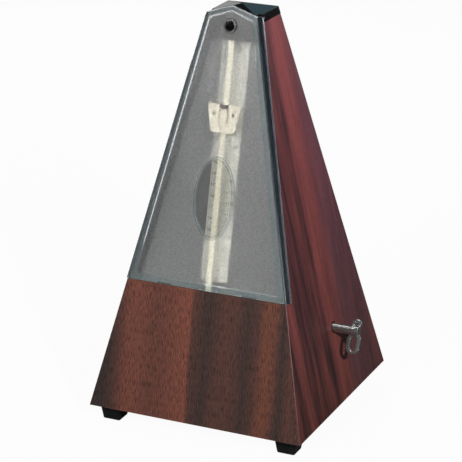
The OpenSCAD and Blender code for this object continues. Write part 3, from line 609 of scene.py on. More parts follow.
def tone(red: int, green: int, blue: int) -> Colour:
    """Gives the linear colour of a paint card whose parts run from 0 to 255."""
    parts = (value / 255 for value in (red, green, blue))
    return tuple(p / 12.92 if p <= 0.04045 else ((p + 0.055) / 1.055) ** 2.4 for p in parts)


@dataclass
class GroupPlan:
    """A shader node group: its inputs, where one without a number is a place, and its outputs."""

    name: str
    inputs: dict[str, float | None]
    outputs: tuple[str, ...]

    def build(self, draw: Callable[..., Sequence[Any]]) -> bpy.types.NodeTree:
        """Builds the group.

        Args:
            draw: Takes a sheet and the inputs' sockets, and gives the sockets for the outputs.

        Returns:
            The group's tree.
        """
        tree = bpy.data.node_groups.new(self.name, "ShaderNodeTree")
        for name, default in self.inputs.items():
            kind = "NodeSocketVector" if default is None else "NodeSocketFloat"
            socket = tree.interface.new_socket(name=name, in_out="INPUT", socket_type=kind)
            if default is not None:
                socket.default_value = default
        for name in self.outputs:
            tree.interface.new_socket(name=name, in_out="OUTPUT", socket_type="NodeSocketFloat")
        given, out = tree.nodes.new("NodeGroupInput"), tree.nodes.new("NodeGroupOutput")
        results = draw(NodeSheet(tree), *(given.outputs[name] for name in self.inputs))
        for name, result in zip(self.outputs, results):
            tree.links.new(result, out.inputs[name])
        return tree


class EffectShelf:
    """The shader node groups that more than one finish uses, each built once."""

    def __init__(self) -> None:
        """Builds every group."""
        self.grain = GroupPlan(
            "mould_grain",
            {"Place": None, "Fineness": 2500.0, "Mottle": 60.0},
            ("Height", "Mottling"),
        ).build(self._mould_grain)
        self.lines = GroupPlan(
            "tool_lines", {"Stretched Place": None, "Depth": 1.0}, ("Lines", "Height")
        ).build(self._tool_lines)
        self.handling = GroupPlan(
            "handling",
            {"Place": None, "Smudge": 0.05, "Dust": 0.1},
            ("Roughness Change", "Dust Mask"),
        ).build(self._handling)
        self.wear = GroupPlan(
            "edge_wear", {"Place": None, "Amount": 0.5}, ("Mask",)
        ).build(self._edge_wear)
        self.wood = GroupPlan(
            "wood_figure",
            {"Across and Along": None, "Wander": 3.0, "Pores": 0.5, "Streaks": 1.6},
            ("Band Place", "Streak", "Pore Mask", "Mottling"),
        ).build(self._wood_figure)

    @staticmethod
    def _mould_grain(sheet: NodeSheet, place: Any, fineness: Any, mottle: Any) -> tuple[Any, ...]:
        """Draws the fine pebbling of a moulded or painted surface, and a slow mottling."""
        return sheet.noise(place, fineness, 2.0, 0.6), sheet.noise(place, mottle, 4.0, 0.55)

    @staticmethod
    def _tool_lines(sheet: NodeSheet, place: Any, depth: Any) -> tuple[Any, ...]:
        """Draws fine parallel lines of brushing or turning.

        Args:
            sheet: The group's sheet.
            place: The place, already stretched along the lines.
            depth: How deep the lines are.

        Returns:
            The lines and their height.
        """
        coarse, fine = sheet.noise(place, 1.0, 5.0, 0.7), sheet.noise(place, 3.1, 2.0, 0.5)
        lines = sheet.math("MULTIPLY_ADD", fine, 0.4, sheet.math("MULTIPLY", coarse, 0.6))
        return lines, sheet.math("MULTIPLY", lines, depth)

    @staticmethod
    def _handling(sheet: NodeSheet, place: Any, smudge: Any, dust: Any) -> tuple[Any, ...]:
        """Draws faint smudges and settled dust.

        Args:
            sheet: The group's sheet.
            place: The place.
            smudge: How strong the smudges are.
            dust: How thick the dust is.

        Returns:
            A change of roughness, and a mask of dust on what looks up.
        """
        patches = sheet.noise(place, 45.0, 5.0, 0.6)
        streaks = sheet.noise(sheet.stretch(place, (160, 160, 35), (0.4, 0.2, 0.1)), 1.0, 3.0)
        change = sheet.math(
            "ADD", sheet.math("SUBTRACT", patches, 0.5), sheet.math("SUBTRACT", streaks, 0.5)
        )
        level = sheet.span(sheet.part(sheet.add("NewGeometry").outputs["Normal"], Axis.Z), 0.5, 1.0)
        specks = sheet.span(sheet.noise(place, 900.0, 2.0), 0.5, 0.75)
        mask = sheet.math("MULTIPLY", level, specks)
        return sheet.math("MULTIPLY", change, smudge), sheet.math("MULTIPLY", mask, dust)

    @staticmethod
    def _edge_wear(sheet: NodeSheet, place: Any, amount: Any) -> tuple[Any, ...]:
        """Draws rubbed edges where the surface curves outwards.

        Args:
            sheet: The group's sheet.
            place: The place.
            amount: How rubbed the edges are.

        Returns:
            The mask.
        """
        sharp = sheet.span(sheet.add("NewGeometry").outputs["Pointiness"], 0.51, 0.6)
        broken = sheet.span(sheet.noise(place, 400.0, 4.0), 0.4, 0.65)
        return (sheet.math("MULTIPLY", sheet.math("MULTIPLY", sharp, broken), amount),)

    @staticmethod
    def _wood_figure(
        sheet: NodeSheet, where: Any, wander: Any, pores: Any, streaks: Any
    ) -> tuple[Any, ...]:
        """Draws the figure of a wood print: wandering bands, long streaks and short dark pores.

        Args:
            sheet: The group's sheet.
            where: The place in millimetres, with X across the grain and Y along it.
            wander: How far the bands wander.
            pores: How dark the pores are.
            streaks: How many streaks there are.

        Returns:
            The place among the bands, the streaks, the pores and a mottling.
        """

        def figure(across: float, along: float, detail: float, rough: float) -> Any:
            """Draws noise that is stretched along the grain."""
            return sheet.noise(sheet.stretch(where, (across, along, 1)), 1.0, detail, rough)

        slow, near = figure(0.05, 0.011, 2.0, 0.45), figure(0.3, 0.045, 3.0, 0.6)
        drift = sheet.math(
            "ADD",
            sheet.math("SUBTRACT", slow, 0.5),
            sheet.math("MULTIPLY", sheet.math("SUBTRACT", near, 0.5), 0.5),
        )
        band = sheet.math("MULTIPLY_ADD", drift, wander, sheet.part(where, Axis.X))
        thin = sheet.add("CombineXYZ", {
            0: sheet.math("MULTIPLY", band, streaks),
            1: sheet.math("MULTIPLY", sheet.part(where, Axis.Y), 0.02),
            2: sheet.part(where, Axis.Z),
        })
        streak = sheet.noise(thin.outputs[0], 1.0, 5.0, 0.6)
        dashes = sheet.span(figure(3.3, 0.22, 2.0, 0.5), 0.5, 0.62)
        hairs = sheet.span(figure(5.2, 0.34, 2.0, 0.5), 0.46, 0.58)
        dots = sheet.math("MAXIMUM", dashes, sheet.math("MULTIPLY", hairs, 0.7))
        return band, streak, sheet.math("MULTIPLY", dots, pores), figure(0.22, 0.07, 4.0, 0.6)


class Finish:
    """A material in the making, with its Principled shader and the piece's own place."""

    def __init__(self, name: str, shelf: EffectShelf) -> None:
        """Makes the material with an empty tree and one Principled shader.

        Args:
            name: The material's name.
            shelf: The shared effects.
        """
        self.shelf = shelf
        self.material = bpy.data.materials.new(name)
        self.sheet = NodeSheet.of(self.material)
        self.shader = self.sheet.add("BsdfPrincipled")
        self.output = self.sheet.add("OutputMaterial", {0: self.shader.outputs[0]})
        self.place = self.sheet.add("TexCoord").outputs["Object"]

    def plain(self, **values: Any) -> None:
        """Sets numbers that are the same all over on the shader's own sockets."""
        for key, value in values.items():
            self.shader.inputs[key.replace("_", " ")].default_value = value

    def feed(self, socket: str, value: Any) -> None:
        """Wires something that changes over the surface to the shader."""
        self.sheet.tree.links.new(value, self.shader.inputs[socket])

    def group(self, tree: bpy.types.NodeTree, **values: Any) -> Any:
        """Adds a shared effect with this finish's own values, and gives its outputs."""
        inputs = {key.replace("_", " "): value for key, value in values.items()}
        return self.sheet.add("Group", inputs, node_tree=tree).outputs

    def grain(self, fineness: float, mottle: float) -> Any:
        """Adds a pebbled surface, and gives its height and its mottling."""
        return self.group(self.shelf.grain, Place=self.place, Fineness=fineness, Mottle=mottle)

    def handle(self, rough: Any, smudge: float, dust: float) -> Any:
        """Smudges a roughness and feeds it to the shader.

        Args:
            rough: The roughness of the clean surface.
            smudge: How strong the smudges are.
            dust: How thick the dust is.

        Returns:
            The mask of the dust.
        """
        change, mask = self.group(
            self.shelf.handling, Place=self.place, Smudge=smudge, Dust=dust
        )
        self.feed("Roughness", self.sheet.math("ADD", change, rough))
        return mask

    def rub(self, base: Any, amount: float, colour: Colour) -> Any:
        """Rubs a base colour away at the edges, and gives the result's socket."""
        mask = self.group(self.shelf.wear, Place=self.place, Amount=amount)[0]
        return self.sheet.mix(mask, base, paint(colour))

    def bump(self, height: Any, strength: float, distance: float) -> None:
        """Feeds a height to the shader's normal."""
        inputs = {"Height": height, "Strength": strength, "Distance": distance}
        self.feed("Normal", self.sheet.add("Bump", inputs).outputs[0])


@dataclass(frozen=True)
class Recipe:
    """What every finish has: a name, and a way to be built."""

    name: str

    def build(self, shelf: EffectShelf) -> bpy.types.Material:
        """Builds the material.

        Args:
            shelf: The shared effects.

        Returns:
            The material.
        """
        finish = Finish(self.name, shelf)
        self.wire(finish)
        return finish.material

    def wire(self, finish: Finish) -> None:
        """Wires the finish's own nodes."""
        raise NotImplementedError


@dataclass(frozen=True)
class PlasticFinish(Recipe):
    """Moulded plastic, with grain, smudges, dust and rubbed edges."""

    colour: Colour
    light: Colour
    roughness: float
    coat: float = 0.0
    grain: float = 2500.0
    mottle: float = 70.0
    bump: float = 0.05
    smudge: float = 0.06
    dust: float = 0.06
    worn: float = 0.25
    shine: float = 0.5
    dust_colour: Colour = (0.5, 0.49, 0.46)

    def wire(self, finish: Finish) -> None:
        """Mottles the colour, rubs its edges and lays the dust.

        Args:
            finish: The material in the making.
        """
        height, mottling = finish.grain(self.grain, self.mottle)
        mask = finish.handle(self.roughness, self.smudge, self.dust)
        base = finish.sheet.mix(mottling, paint(self.colour), paint(self.light))
        base = finish.rub(base, self.worn, shift(self.light, 1.5, 0.02))
        finish.feed("Base Color", finish.sheet.mix(mask, base, paint(self.dust_colour)))
        finish.plain(Coat_Weight=self.coat, Coat_Roughness=0.04, Specular_IOR_Level=self.shine)
        finish.bump(height, self.bump, 0.0002)


@dataclass(frozen=True)
class WoodPrintFinish(Recipe):
    """Glossy plastic with a printed wood figure, its bands given across the face in millimetres."""

    across: Axis
    dark: Colour
    warm: Colour
    glow: Colour
    bands: tuple[tuple[float, float], ...]
    glows: tuple[tuple[float, float], ...]
    flip: bool = False
    pores: float = 0.5
    wander: float = 3.0
    # painted light: the print grows lighter, and on the side tinted, towards the top of each face
    top_light: float = 1.0
    top_tint: Colour = WHITE
    roughness: float = 0.16
    coat: float = 0.3
    shine: float = 0.5
    streaks: float = 0.55
    streak_rate: float = 1.6
    print_half: float = 62.0
    print_low: float = 9.0
    print_high: float = 215.0

    def wire(self, finish: Finish) -> None:
        """Prints the bands, paints light on them towards the top and lays the pores.

        Args:
            finish: The material in the making.
        """
        sheet = finish.sheet
        sign = -1 if self.flip else 1
        across = sheet.math("MULTIPLY", sheet.part(finish.place, self.across), sign / MM)
        along = sheet.math("MULTIPLY", sheet.part(finish.place, Axis.Z), 1 / MM)
        where = sheet.add("CombineXYZ", {0: across, 1: along, 2: 7.0 * len(self.name)}).outputs[0]
        band, streak, pores, mottling = finish.group(
            finish.shelf.wood, Across_and_Along=where, Wander=self.wander, Pores=self.pores,
            Streaks=self.streak_rate,
        )
        half = self.print_half
        span = sheet.span(band, -half, half)
        share, hot = (
            sheet.ramp(span, [((at + half) / (2 * half), value) for at, value in stops])
            for stops in (self.bands, self.glows)
        )
        height = sheet.span(along, self.print_low, self.print_high)
        force = sheet.math("MULTIPLY_ADD", height, -0.6 * self.streaks, self.streaks)
        share = sheet.math("MULTIPLY_ADD", sheet.math("SUBTRACT", streak, 0.5), force, share)
        base = sheet.mix(share, paint(self.dark), paint(self.warm))
        base = sheet.mix(sheet.math("MULTIPLY", hot, mottling), base, paint(self.glow))
        # painted light: the colour is multiplied up towards the top of the face
        top = paint(tuple(self.top_light * part for part in self.top_tint))
        base = sheet.mix(1.0, base, sheet.mix(height, paint(WHITE), top), "MULTIPLY")
        finish.feed("Base Color", sheet.mix(pores, base, paint(shift(self.dark, 0.4))))
        finish.handle(self.roughness, 0.05, 0.02)
        finish.plain(Coat_Weight=self.coat, Coat_Roughness=0.08, Specular_IOR_Level=self.shine)
        waves = sheet.math("MULTIPLY", sheet.noise(finish.place, 160.0, 2.0), 0.5)
        finish.bump(sheet.math("MULTIPLY_ADD", pores, -0.6, waves), 0.04, 0.0003)


@dataclass(frozen=True)
class MetalFinish(Recipe):
    """Metal with tool lines along one direction, tarnish and rubbed edges."""

    colour: Colour
    tarnish: Colour
    roughness: float
    lines: tuple[float, float, float] = (120.0, 2500.0, 2500.0)
    depth: float = 0.1
    stain: float = 0.35
    spread: float = 0.12
    metallic: float = 1.0

    def wire(self, finish: Finish) -> None:
        """Draws the tool lines, spots them with tarnish and rubs the edges.

        Args:
            finish: The material in the making.
        """
        sheet = finish.sheet
        place = sheet.stretch(finish.place, self.lines)
        lines, height = finish.group(finish.shelf.lines, Stretched_Place=place, Depth=1.0)
        spots = sheet.span(finish.grain(1500.0, 140.0)[1], 0.45, 0.75, 0.0, self.stain)
        base = sheet.mix(spots, paint(self.colour), paint(self.tarnish))
        base = sheet.mix(sheet.math("MULTIPLY", lines, 0.25), base, paint(self.tarnish))
        finish.feed("Base Color", finish.rub(base, 0.4, shift(self.colour, 1.25)))
        finish.plain(Metallic=self.metallic)
        rough = sheet.math("MULTIPLY_ADD", lines, self.spread, self.roughness)
        finish.handle(rough, self.spread, 0.05)
        finish.bump(height, self.depth, 0.0001)


@dataclass(frozen=True)
class ClearFinish(Recipe):
    """Smoke-tinted clear plastic, polished or frosted, that lets lamps through to what is in it."""

    tint: Colour
    roughness: float
    clearness: float
    passed: Colour = (0.74, 0.74, 0.735)
    grain: float = 1800.0
    bump: float = 0.02
    smudge: float = 0.02
    # painted light: the tint is lightened on the lower part of the cover
    foot_lift: float = 1.0
    foot_span: tuple[float, float] = (0.05, 0.13)

    def wire(self, finish: Finish) -> None:
        """Clouds the tint, paints light on its lower part and opens the way for shadow rays.

        Args:
            finish: The material in the making.
        """
        sheet = finish.sheet
        pebbles = finish.grain(self.grain, 35.0)[0]
        finish.handle(self.roughness, self.smudge, 0.02)
        specks = sheet.span(pebbles, 0.35, 0.65)
        base = sheet.mix(specks, paint(shift(self.tint, 0.66)), paint(self.tint))
        # painted light: the tint grows lighter towards the lower edge
        lift = sheet.span(sheet.part(finish.place, Axis.Z), *self.foot_span, self.foot_lift, 1.0)
        finish.feed("Base Color", sheet.mix(1.0, base, lift, "MULTIPLY"))
        finish.plain(Transmission_Weight=self.clearness, IOR=1.49)
        finish.bump(pebbles, self.bump, 0.0001)
        open_way = sheet.add("BsdfTransparent", {0: paint(self.passed)}).outputs[0]
        ways = sheet.both(sheet.ray("Shadow"), finish.shader.outputs[0], open_way)
        sheet.tree.links.new(ways, finish.output.inputs[0])


# ------------------------------------------------------------------ finishes


@dataclass
class FinishRack:
    """Every material of the metronome, by name."""

    shelf: EffectShelf
    made: dict[str, bpy.types.Material] = field(default_factory=dict)

    WOOD = (tone(62, 54, 52), tone(139, 83, 69))
    SIDE_DARK = tone(54, 38, 39)
    # a pale pink for the rounded front corners: a painted highlight
    CORNER = tone(112, 86, 90)

    PLASTICS = (
        PlasticFinish(
            "black_gloss", (0.003, 0.0035, 0.004), (0.005, 0.0055, 0.006), 0.06, 0.2, dust=0.015
        ),
        PlasticFinish(
            "stud_gloss", (0.002, 0.002, 0.002), (0.003, 0.003, 0.003), 0.03, dust=0.0, worn=0.0,
            shine=0.1,
        ),
        PlasticFinish("base_matt", (0.016, 0.016, 0.017), (0.03, 0.03, 0.031), 0.5, bump=0.2),
        PlasticFinish("inside_dark", (0.035, 0.04, 0.043), (0.05, 0.056, 0.06), 0.6, bump=0.15),
        PlasticFinish("foot_black", (0.004, 0.0045, 0.005), (0.012, 0.013, 0.015), 0.22, bump=0.08),
        PlasticFinish("board_grey", (0.118, 0.122, 0.124), (0.142, 0.146, 0.149), 0.5),
        PlasticFinish("plate_ivory", (0.6, 0.595, 0.54), (0.67, 0.665, 0.605), 0.35),
        PlasticFinish("rod_cream", (0.82, 0.78, 0.62), (0.88, 0.84, 0.68), 0.35),
        PlasticFinish("weight_ivory", (0.8, 0.745, 0.6), (0.87, 0.815, 0.67), 0.3, 0.1),
        # a darker copy of the weight's ivory for its back plate: painted shade
        PlasticFinish("weight_shade", (0.5, 0.47, 0.38), (0.6, 0.56, 0.46), 0.45),
        PlasticFinish("scale_ink", (0.01, 0.01, 0.012), (0.03, 0.03, 0.03), 0.6),
    )
    METALS = (
        MetalFinish(
            "key_chrome", (0.48, 0.51, 0.49), (0.34, 0.36, 0.35), 0.03, depth=0.01, stain=0.1,
            spread=0.02, metallic=0.9,
        ),
        MetalFinish("screw_steel", (0.2, 0.2, 0.205), (0.12, 0.115, 0.11), 0.5),
        MetalFinish("catch_steel", (0.62, 0.62, 0.63), (0.32, 0.31, 0.3), 0.3),
        MetalFinish("arbor_steel", (0.58, 0.58, 0.6), (0.32, 0.31, 0.3), 0.2, (2500, 300, 300)),
        MetalFinish("spring_steel", (0.32, 0.34, 0.38), (0.15, 0.13, 0.12), 0.3),
        MetalFinish("plate_brass", (0.72, 0.53, 0.23), (0.4, 0.26, 0.1), 0.32, (2500, 2500, 90)),
        MetalFinish("pillar_brass", (0.66, 0.48, 0.2), (0.36, 0.23, 0.09), 0.26, (2500, 200, 200)),
        MetalFinish("wheel_brass", (0.76, 0.57, 0.26), (0.44, 0.29, 0.11), 0.25),
        MetalFinish("bob_iron", (0.12, 0.12, 0.125), (0.07, 0.06, 0.055), 0.45),
        MetalFinish("rivet_dark", (0.09, 0.085, 0.08), (0.06, 0.055, 0.05), 0.5),
    )
    CLEARS = (
        ClearFinish("cover_clear", (0.71, 0.715, 0.71), 0.04, 1.0),
        ClearFinish(
            "cover_frost", (0.8, 0.8, 0.79), 0.3, 0.95, (0.84, 0.84, 0.83), 900.0, 0.06,
            foot_lift=1.45,
        ),
        ClearFinish("cover_edge", (0.42, 0.5, 0.51), 0.03, 0.84),
        ClearFinish("cover_side", (0.12, 0.155, 0.19), 0.03, 0.8),
        # pale, half-opaque plastic that paints highlight lines along the flanges
        ClearFinish("cover_lip", (0.9, 0.88, 0.92), 0.05, 0.55),
    )
    FRONT_BANDS = (
        (-60, 0), (-52, 0.05), (-47, 0.35), (-42, 0.8), (-36, 0.8), (-28, 0.55), (-20, 0.65),
        (-12, 0.9), (-6.5, 0.95), (-5, 0.35), (-1, 0.2), (3, 0.08), (8, 0.22), (13, 0.35),
        (20, 0.3), (26, 0.08), (31, 0.25), (36, 0.6), (41, 0.5), (46, 0.05), (52, 0.35), (60, 0.25),
    )
    SIDE_BANDS = (
        (-60, 0.5), (-54, 0.55), (-50, 0.15), (-46, 0.5), (-42, 0.9), (-38, 0.6), (-34, 0.25),
        (-30, 0.22), (-26, 0.35), (-22, 0.12), (-18, 0.35), (-14, 0.5), (-10, 0.35), (-6, 0.2),
        (-2, 0.6), (2, 0.95), (6, 0.85), (10, 0.8), (14, 0.65), (18, 0.55), (22, 0.5), (26, 0.4),
        (34, 0.4), (42, 0.25), (46, 0.35), (50, 0.6), (54, 0.6),
    )
    WOODS = (
        WoodPrintFinish(
            "wood_front", Axis.X, *WOOD, tone(140, 84, 50), FRONT_BANDS,
            ((32, 0), (38, 0.45), (43, 0)), pores=0.75, wander=5.5, top_light=1.2, coat=0.1,
            shine=0.35,
        ),
        WoodPrintFinish(
            "wood_side", Axis.Y, SIDE_DARK, tone(140, 77, 70), tone(110, 84, 92), SIDE_BANDS,
            ((10, 0), (22, 0.7), (50, 0.6)), pores=0.3, top_light=2.1, top_tint=(1.0, 0.96, 1.25),
            roughness=0.3, coat=0.0, shine=0.25, streaks=2.1, streak_rate=0.32,
        ),
        WoodPrintFinish(
            "wood_left", Axis.Y, SIDE_DARK, tone(132, 72, 65), tone(104, 78, 84), SIDE_BANDS,
            ((10, 0), (22, 0.6), (50, 0.5)), True, pores=0.3, top_light=1.6, roughness=0.3,
            coat=0.0, shine=0.25, streaks=1.8, streak_rate=0.32,
        ),
        WoodPrintFinish(
            "wood_rear", Axis.X, *WOOD, tone(150, 84, 48), FRONT_BANDS,
            ((30, 0), (38, 0.3), (44, 0)), True, pores=0.6, top_light=1.3,
        ),
        # the front corners' rounding: a lighter print, much lighter towards the top, as a painted
        # highlight
        WoodPrintFinish(
            "wood_corner", Axis.X, tone(88, 62, 64), CORNER, CORNER, FRONT_BANDS,
            ((30, 0), (44, 0)), pores=0.2, top_light=5.5,
        ),
    )

    def build(self) -> None:
        """Builds every material."""
        for finish in (*self.PLASTICS, *self.METALS, *self.CLEARS, *self.WOODS):
            self.made[finish.name] = finish.build(self.shelf)

    def take(self, *names: str) -> list[bpy.types.Material]:
        """Some of the materials, in order."""
        return [self.made[name] for name in names]


# ------------------------------------------------------------------ sub-assemblies


@dataclass
class CaseBody:
    """The wood-printed shell and the moulded feet under it."""

    rack: FinishRack
    corner: float = 0.5
    skin: float = 0.8
    foot_at: float = 50.3
    rear_in: float = 6.0
    foot_top: float = 12.4
    foot_floor: float = 9.8
    foot_height: float = 9.0
    foot_clip: tuple[float, float] = (0.9, 0.7)
    recess: float = 3.1
    recess_deep: float = 4.0
    foot_edge: float = 0.15
    screw_way: float = 1.7

    def build(self) -> None:
        """Builds the shell and the four feet."""
        self._shell()
        for side, x in (("left", -1), ("right", 1)):
            for end, y in (("front", -1), ("rear", 1)):
                self._foot(f"foot_{end}_{side}", x, y)

    def _shell(self) -> None:
        """Refines the case from its CAD shape: rounded corners, a print on each face, and a painted
        highlight on the rounded front corners.
        """
        piece = Workpiece.copy_of("case_shell", "case_body")

        def on_corner(at: Vector, way: Vector) -> bool:
            """Tells an edge on a leaning corner of the case.

            Args:
                at: An edge's middle.
                way: Its direction.

            Returns:
                Whether it lies on a corner.
            """
            half = PLAN.half(at.z)
            side = abs(abs(at.x) - half) < NEAR
            return side and min(abs(at.y - half), abs(at.y - PLAN.front(at.z))) < NEAR

        LOG.info("case corners rounded: %d", piece.pick(Domain.EDGE, on_corner))
        piece.bevel(self.corner, 4)
        piece.shade(30)

        def print_of(at: Vector, way: Vector) -> int:
            """Chooses the print of a face.

            Args:
                at: The face's middle.
                way: Its normal.

            Returns:
                Its material's index: front, right, left, rear, inside or the front corners' painted
                highlight.
            """
            half = PLAN.half(at.z)
            if abs(way.x) > 0.3 and way.y < -0.3 and abs(at.x) > half - self.skin:
                return 5
            if way.y < -0.6 and at.y < PLAN.front(at.z) + self.skin:
                return 0
            if abs(abs(at.x) - half) < self.skin and abs(way.x) > 0.5:
                return 1 if at.x > 0 else 2
            if way.y > 0.6 and abs(at.y - half) < self.skin:
                return 3
            return 4

        piece.colour(print_of)
        woods = self.rack.take(
            "wood_front", "wood_side", "wood_left", "wood_rear", "inside_dark", "wood_corner"
        )
        piece.dress(woods, "case", "case_woodgrain", "case_shell")

    def _foot(self, name: str, x: int, y: int) -> None:
        """Moulds a tapered foot with clipped lower corners and a recess for its screw.

        Args:
            name: The CAD node it stands for.
            x: Its side, -1 for left.
            y: Its end, -1 for front.
        """
        half = self.foot_top / 2
        high = (half, half, self.foot_height)
        piece = Workpiece.block(name + "_moulded", (-half, -half, 0), high)
        piece.pick(Domain.VERT, lambda at, way: at.z < 0.01)
        piece.resize((self.foot_floor / self.foot_top,) * 2 + (1,))
        piece.pick(Domain.EDGE, lambda at, way: abs(way.z) > 0.5)
        piece.bevel(self.foot_clip[0], 2)
        piece.pick(Domain.EDGE, lambda at, way: at.z < 0.01)
        piece.bevel(self.foot_clip[1], 2)
        piece.close_up()
        piece.cut(Workpiece.rod("recess", self.recess, -1, self.recess_deep))
        piece.cut(Workpiece.rod("screw_way", self.screw_way, 1, self.foot_height + 1, 24))
        piece.soften(self.foot_edge)
        across = self.foot_at - (self.rear_in if y > 0 else 0)
        place = Matrix.Translation((x * across, y * self.foot_at, 0))
        piece.dress(self.rack.take("foot_black"), "case", "foot_black", name, place=place)


@dataclass
class TopCap:
    """The black roof cap and the stud that the cover snaps over."""

    rack: FinishRack
    edge: float = 0.22
    stud_up: float = 207.55
    stud_low: float = -1.25
    ball_r: float = 2.5
    neck_r: float = 1.3
    neck_deep: float = 1.6

    def build(self) -> None:
        """Builds the cap and its stud."""
        cap = Workpiece.copy_of("top_cap", "roof_cap")

        def on_outside(at: Vector, way: Vector) -> bool:
            """Tells an edge of the roof, or of the corners of the band.

            Args:
                at: An edge's middle.
                way: Its direction.

            Returns:
                Whether it is to be rounded.
            """
            ridge = at.z > PLAN.eave_z - 0.01 and at.length > 1
            half = PLAN.half(at.z)
            corner = abs(abs(at.x) - half) < NEAR and abs(at.y - half) < NEAR
            return ridge or (corner and at.z > PLAN.eave_z - PLAN.band)

        cap.pick(Domain.EDGE, on_outside)
        cap.bevel(self.edge, 3)
        cap.shade(25)
        cap.dress(self.rack.take("black_gloss"), "case", "cap_black", "top_cap")
        foot, middle = self.stud_low - self.neck_deep, self.stud_low + self.ball_r
        start = math.acos(self.neck_r / self.ball_r)
        turns = [-start + k * (math.pi / 2 + start) / 24 for k in range(25)]
        ball = [
            (max(0.0, self.ball_r * math.cos(a)), middle + self.ball_r * math.sin(a)) for a in turns
        ]
        stud = Workpiece.lathe("stud_ball", [(0, foot), (self.neck_r, foot), *ball], 48)
        stud.shade(50)
        place = PLAN.front_matrix(self.stud_up)
        stud.dress(self.rack.take("stud_gloss"), "case", "stud_black", "cover_stud", place=place)


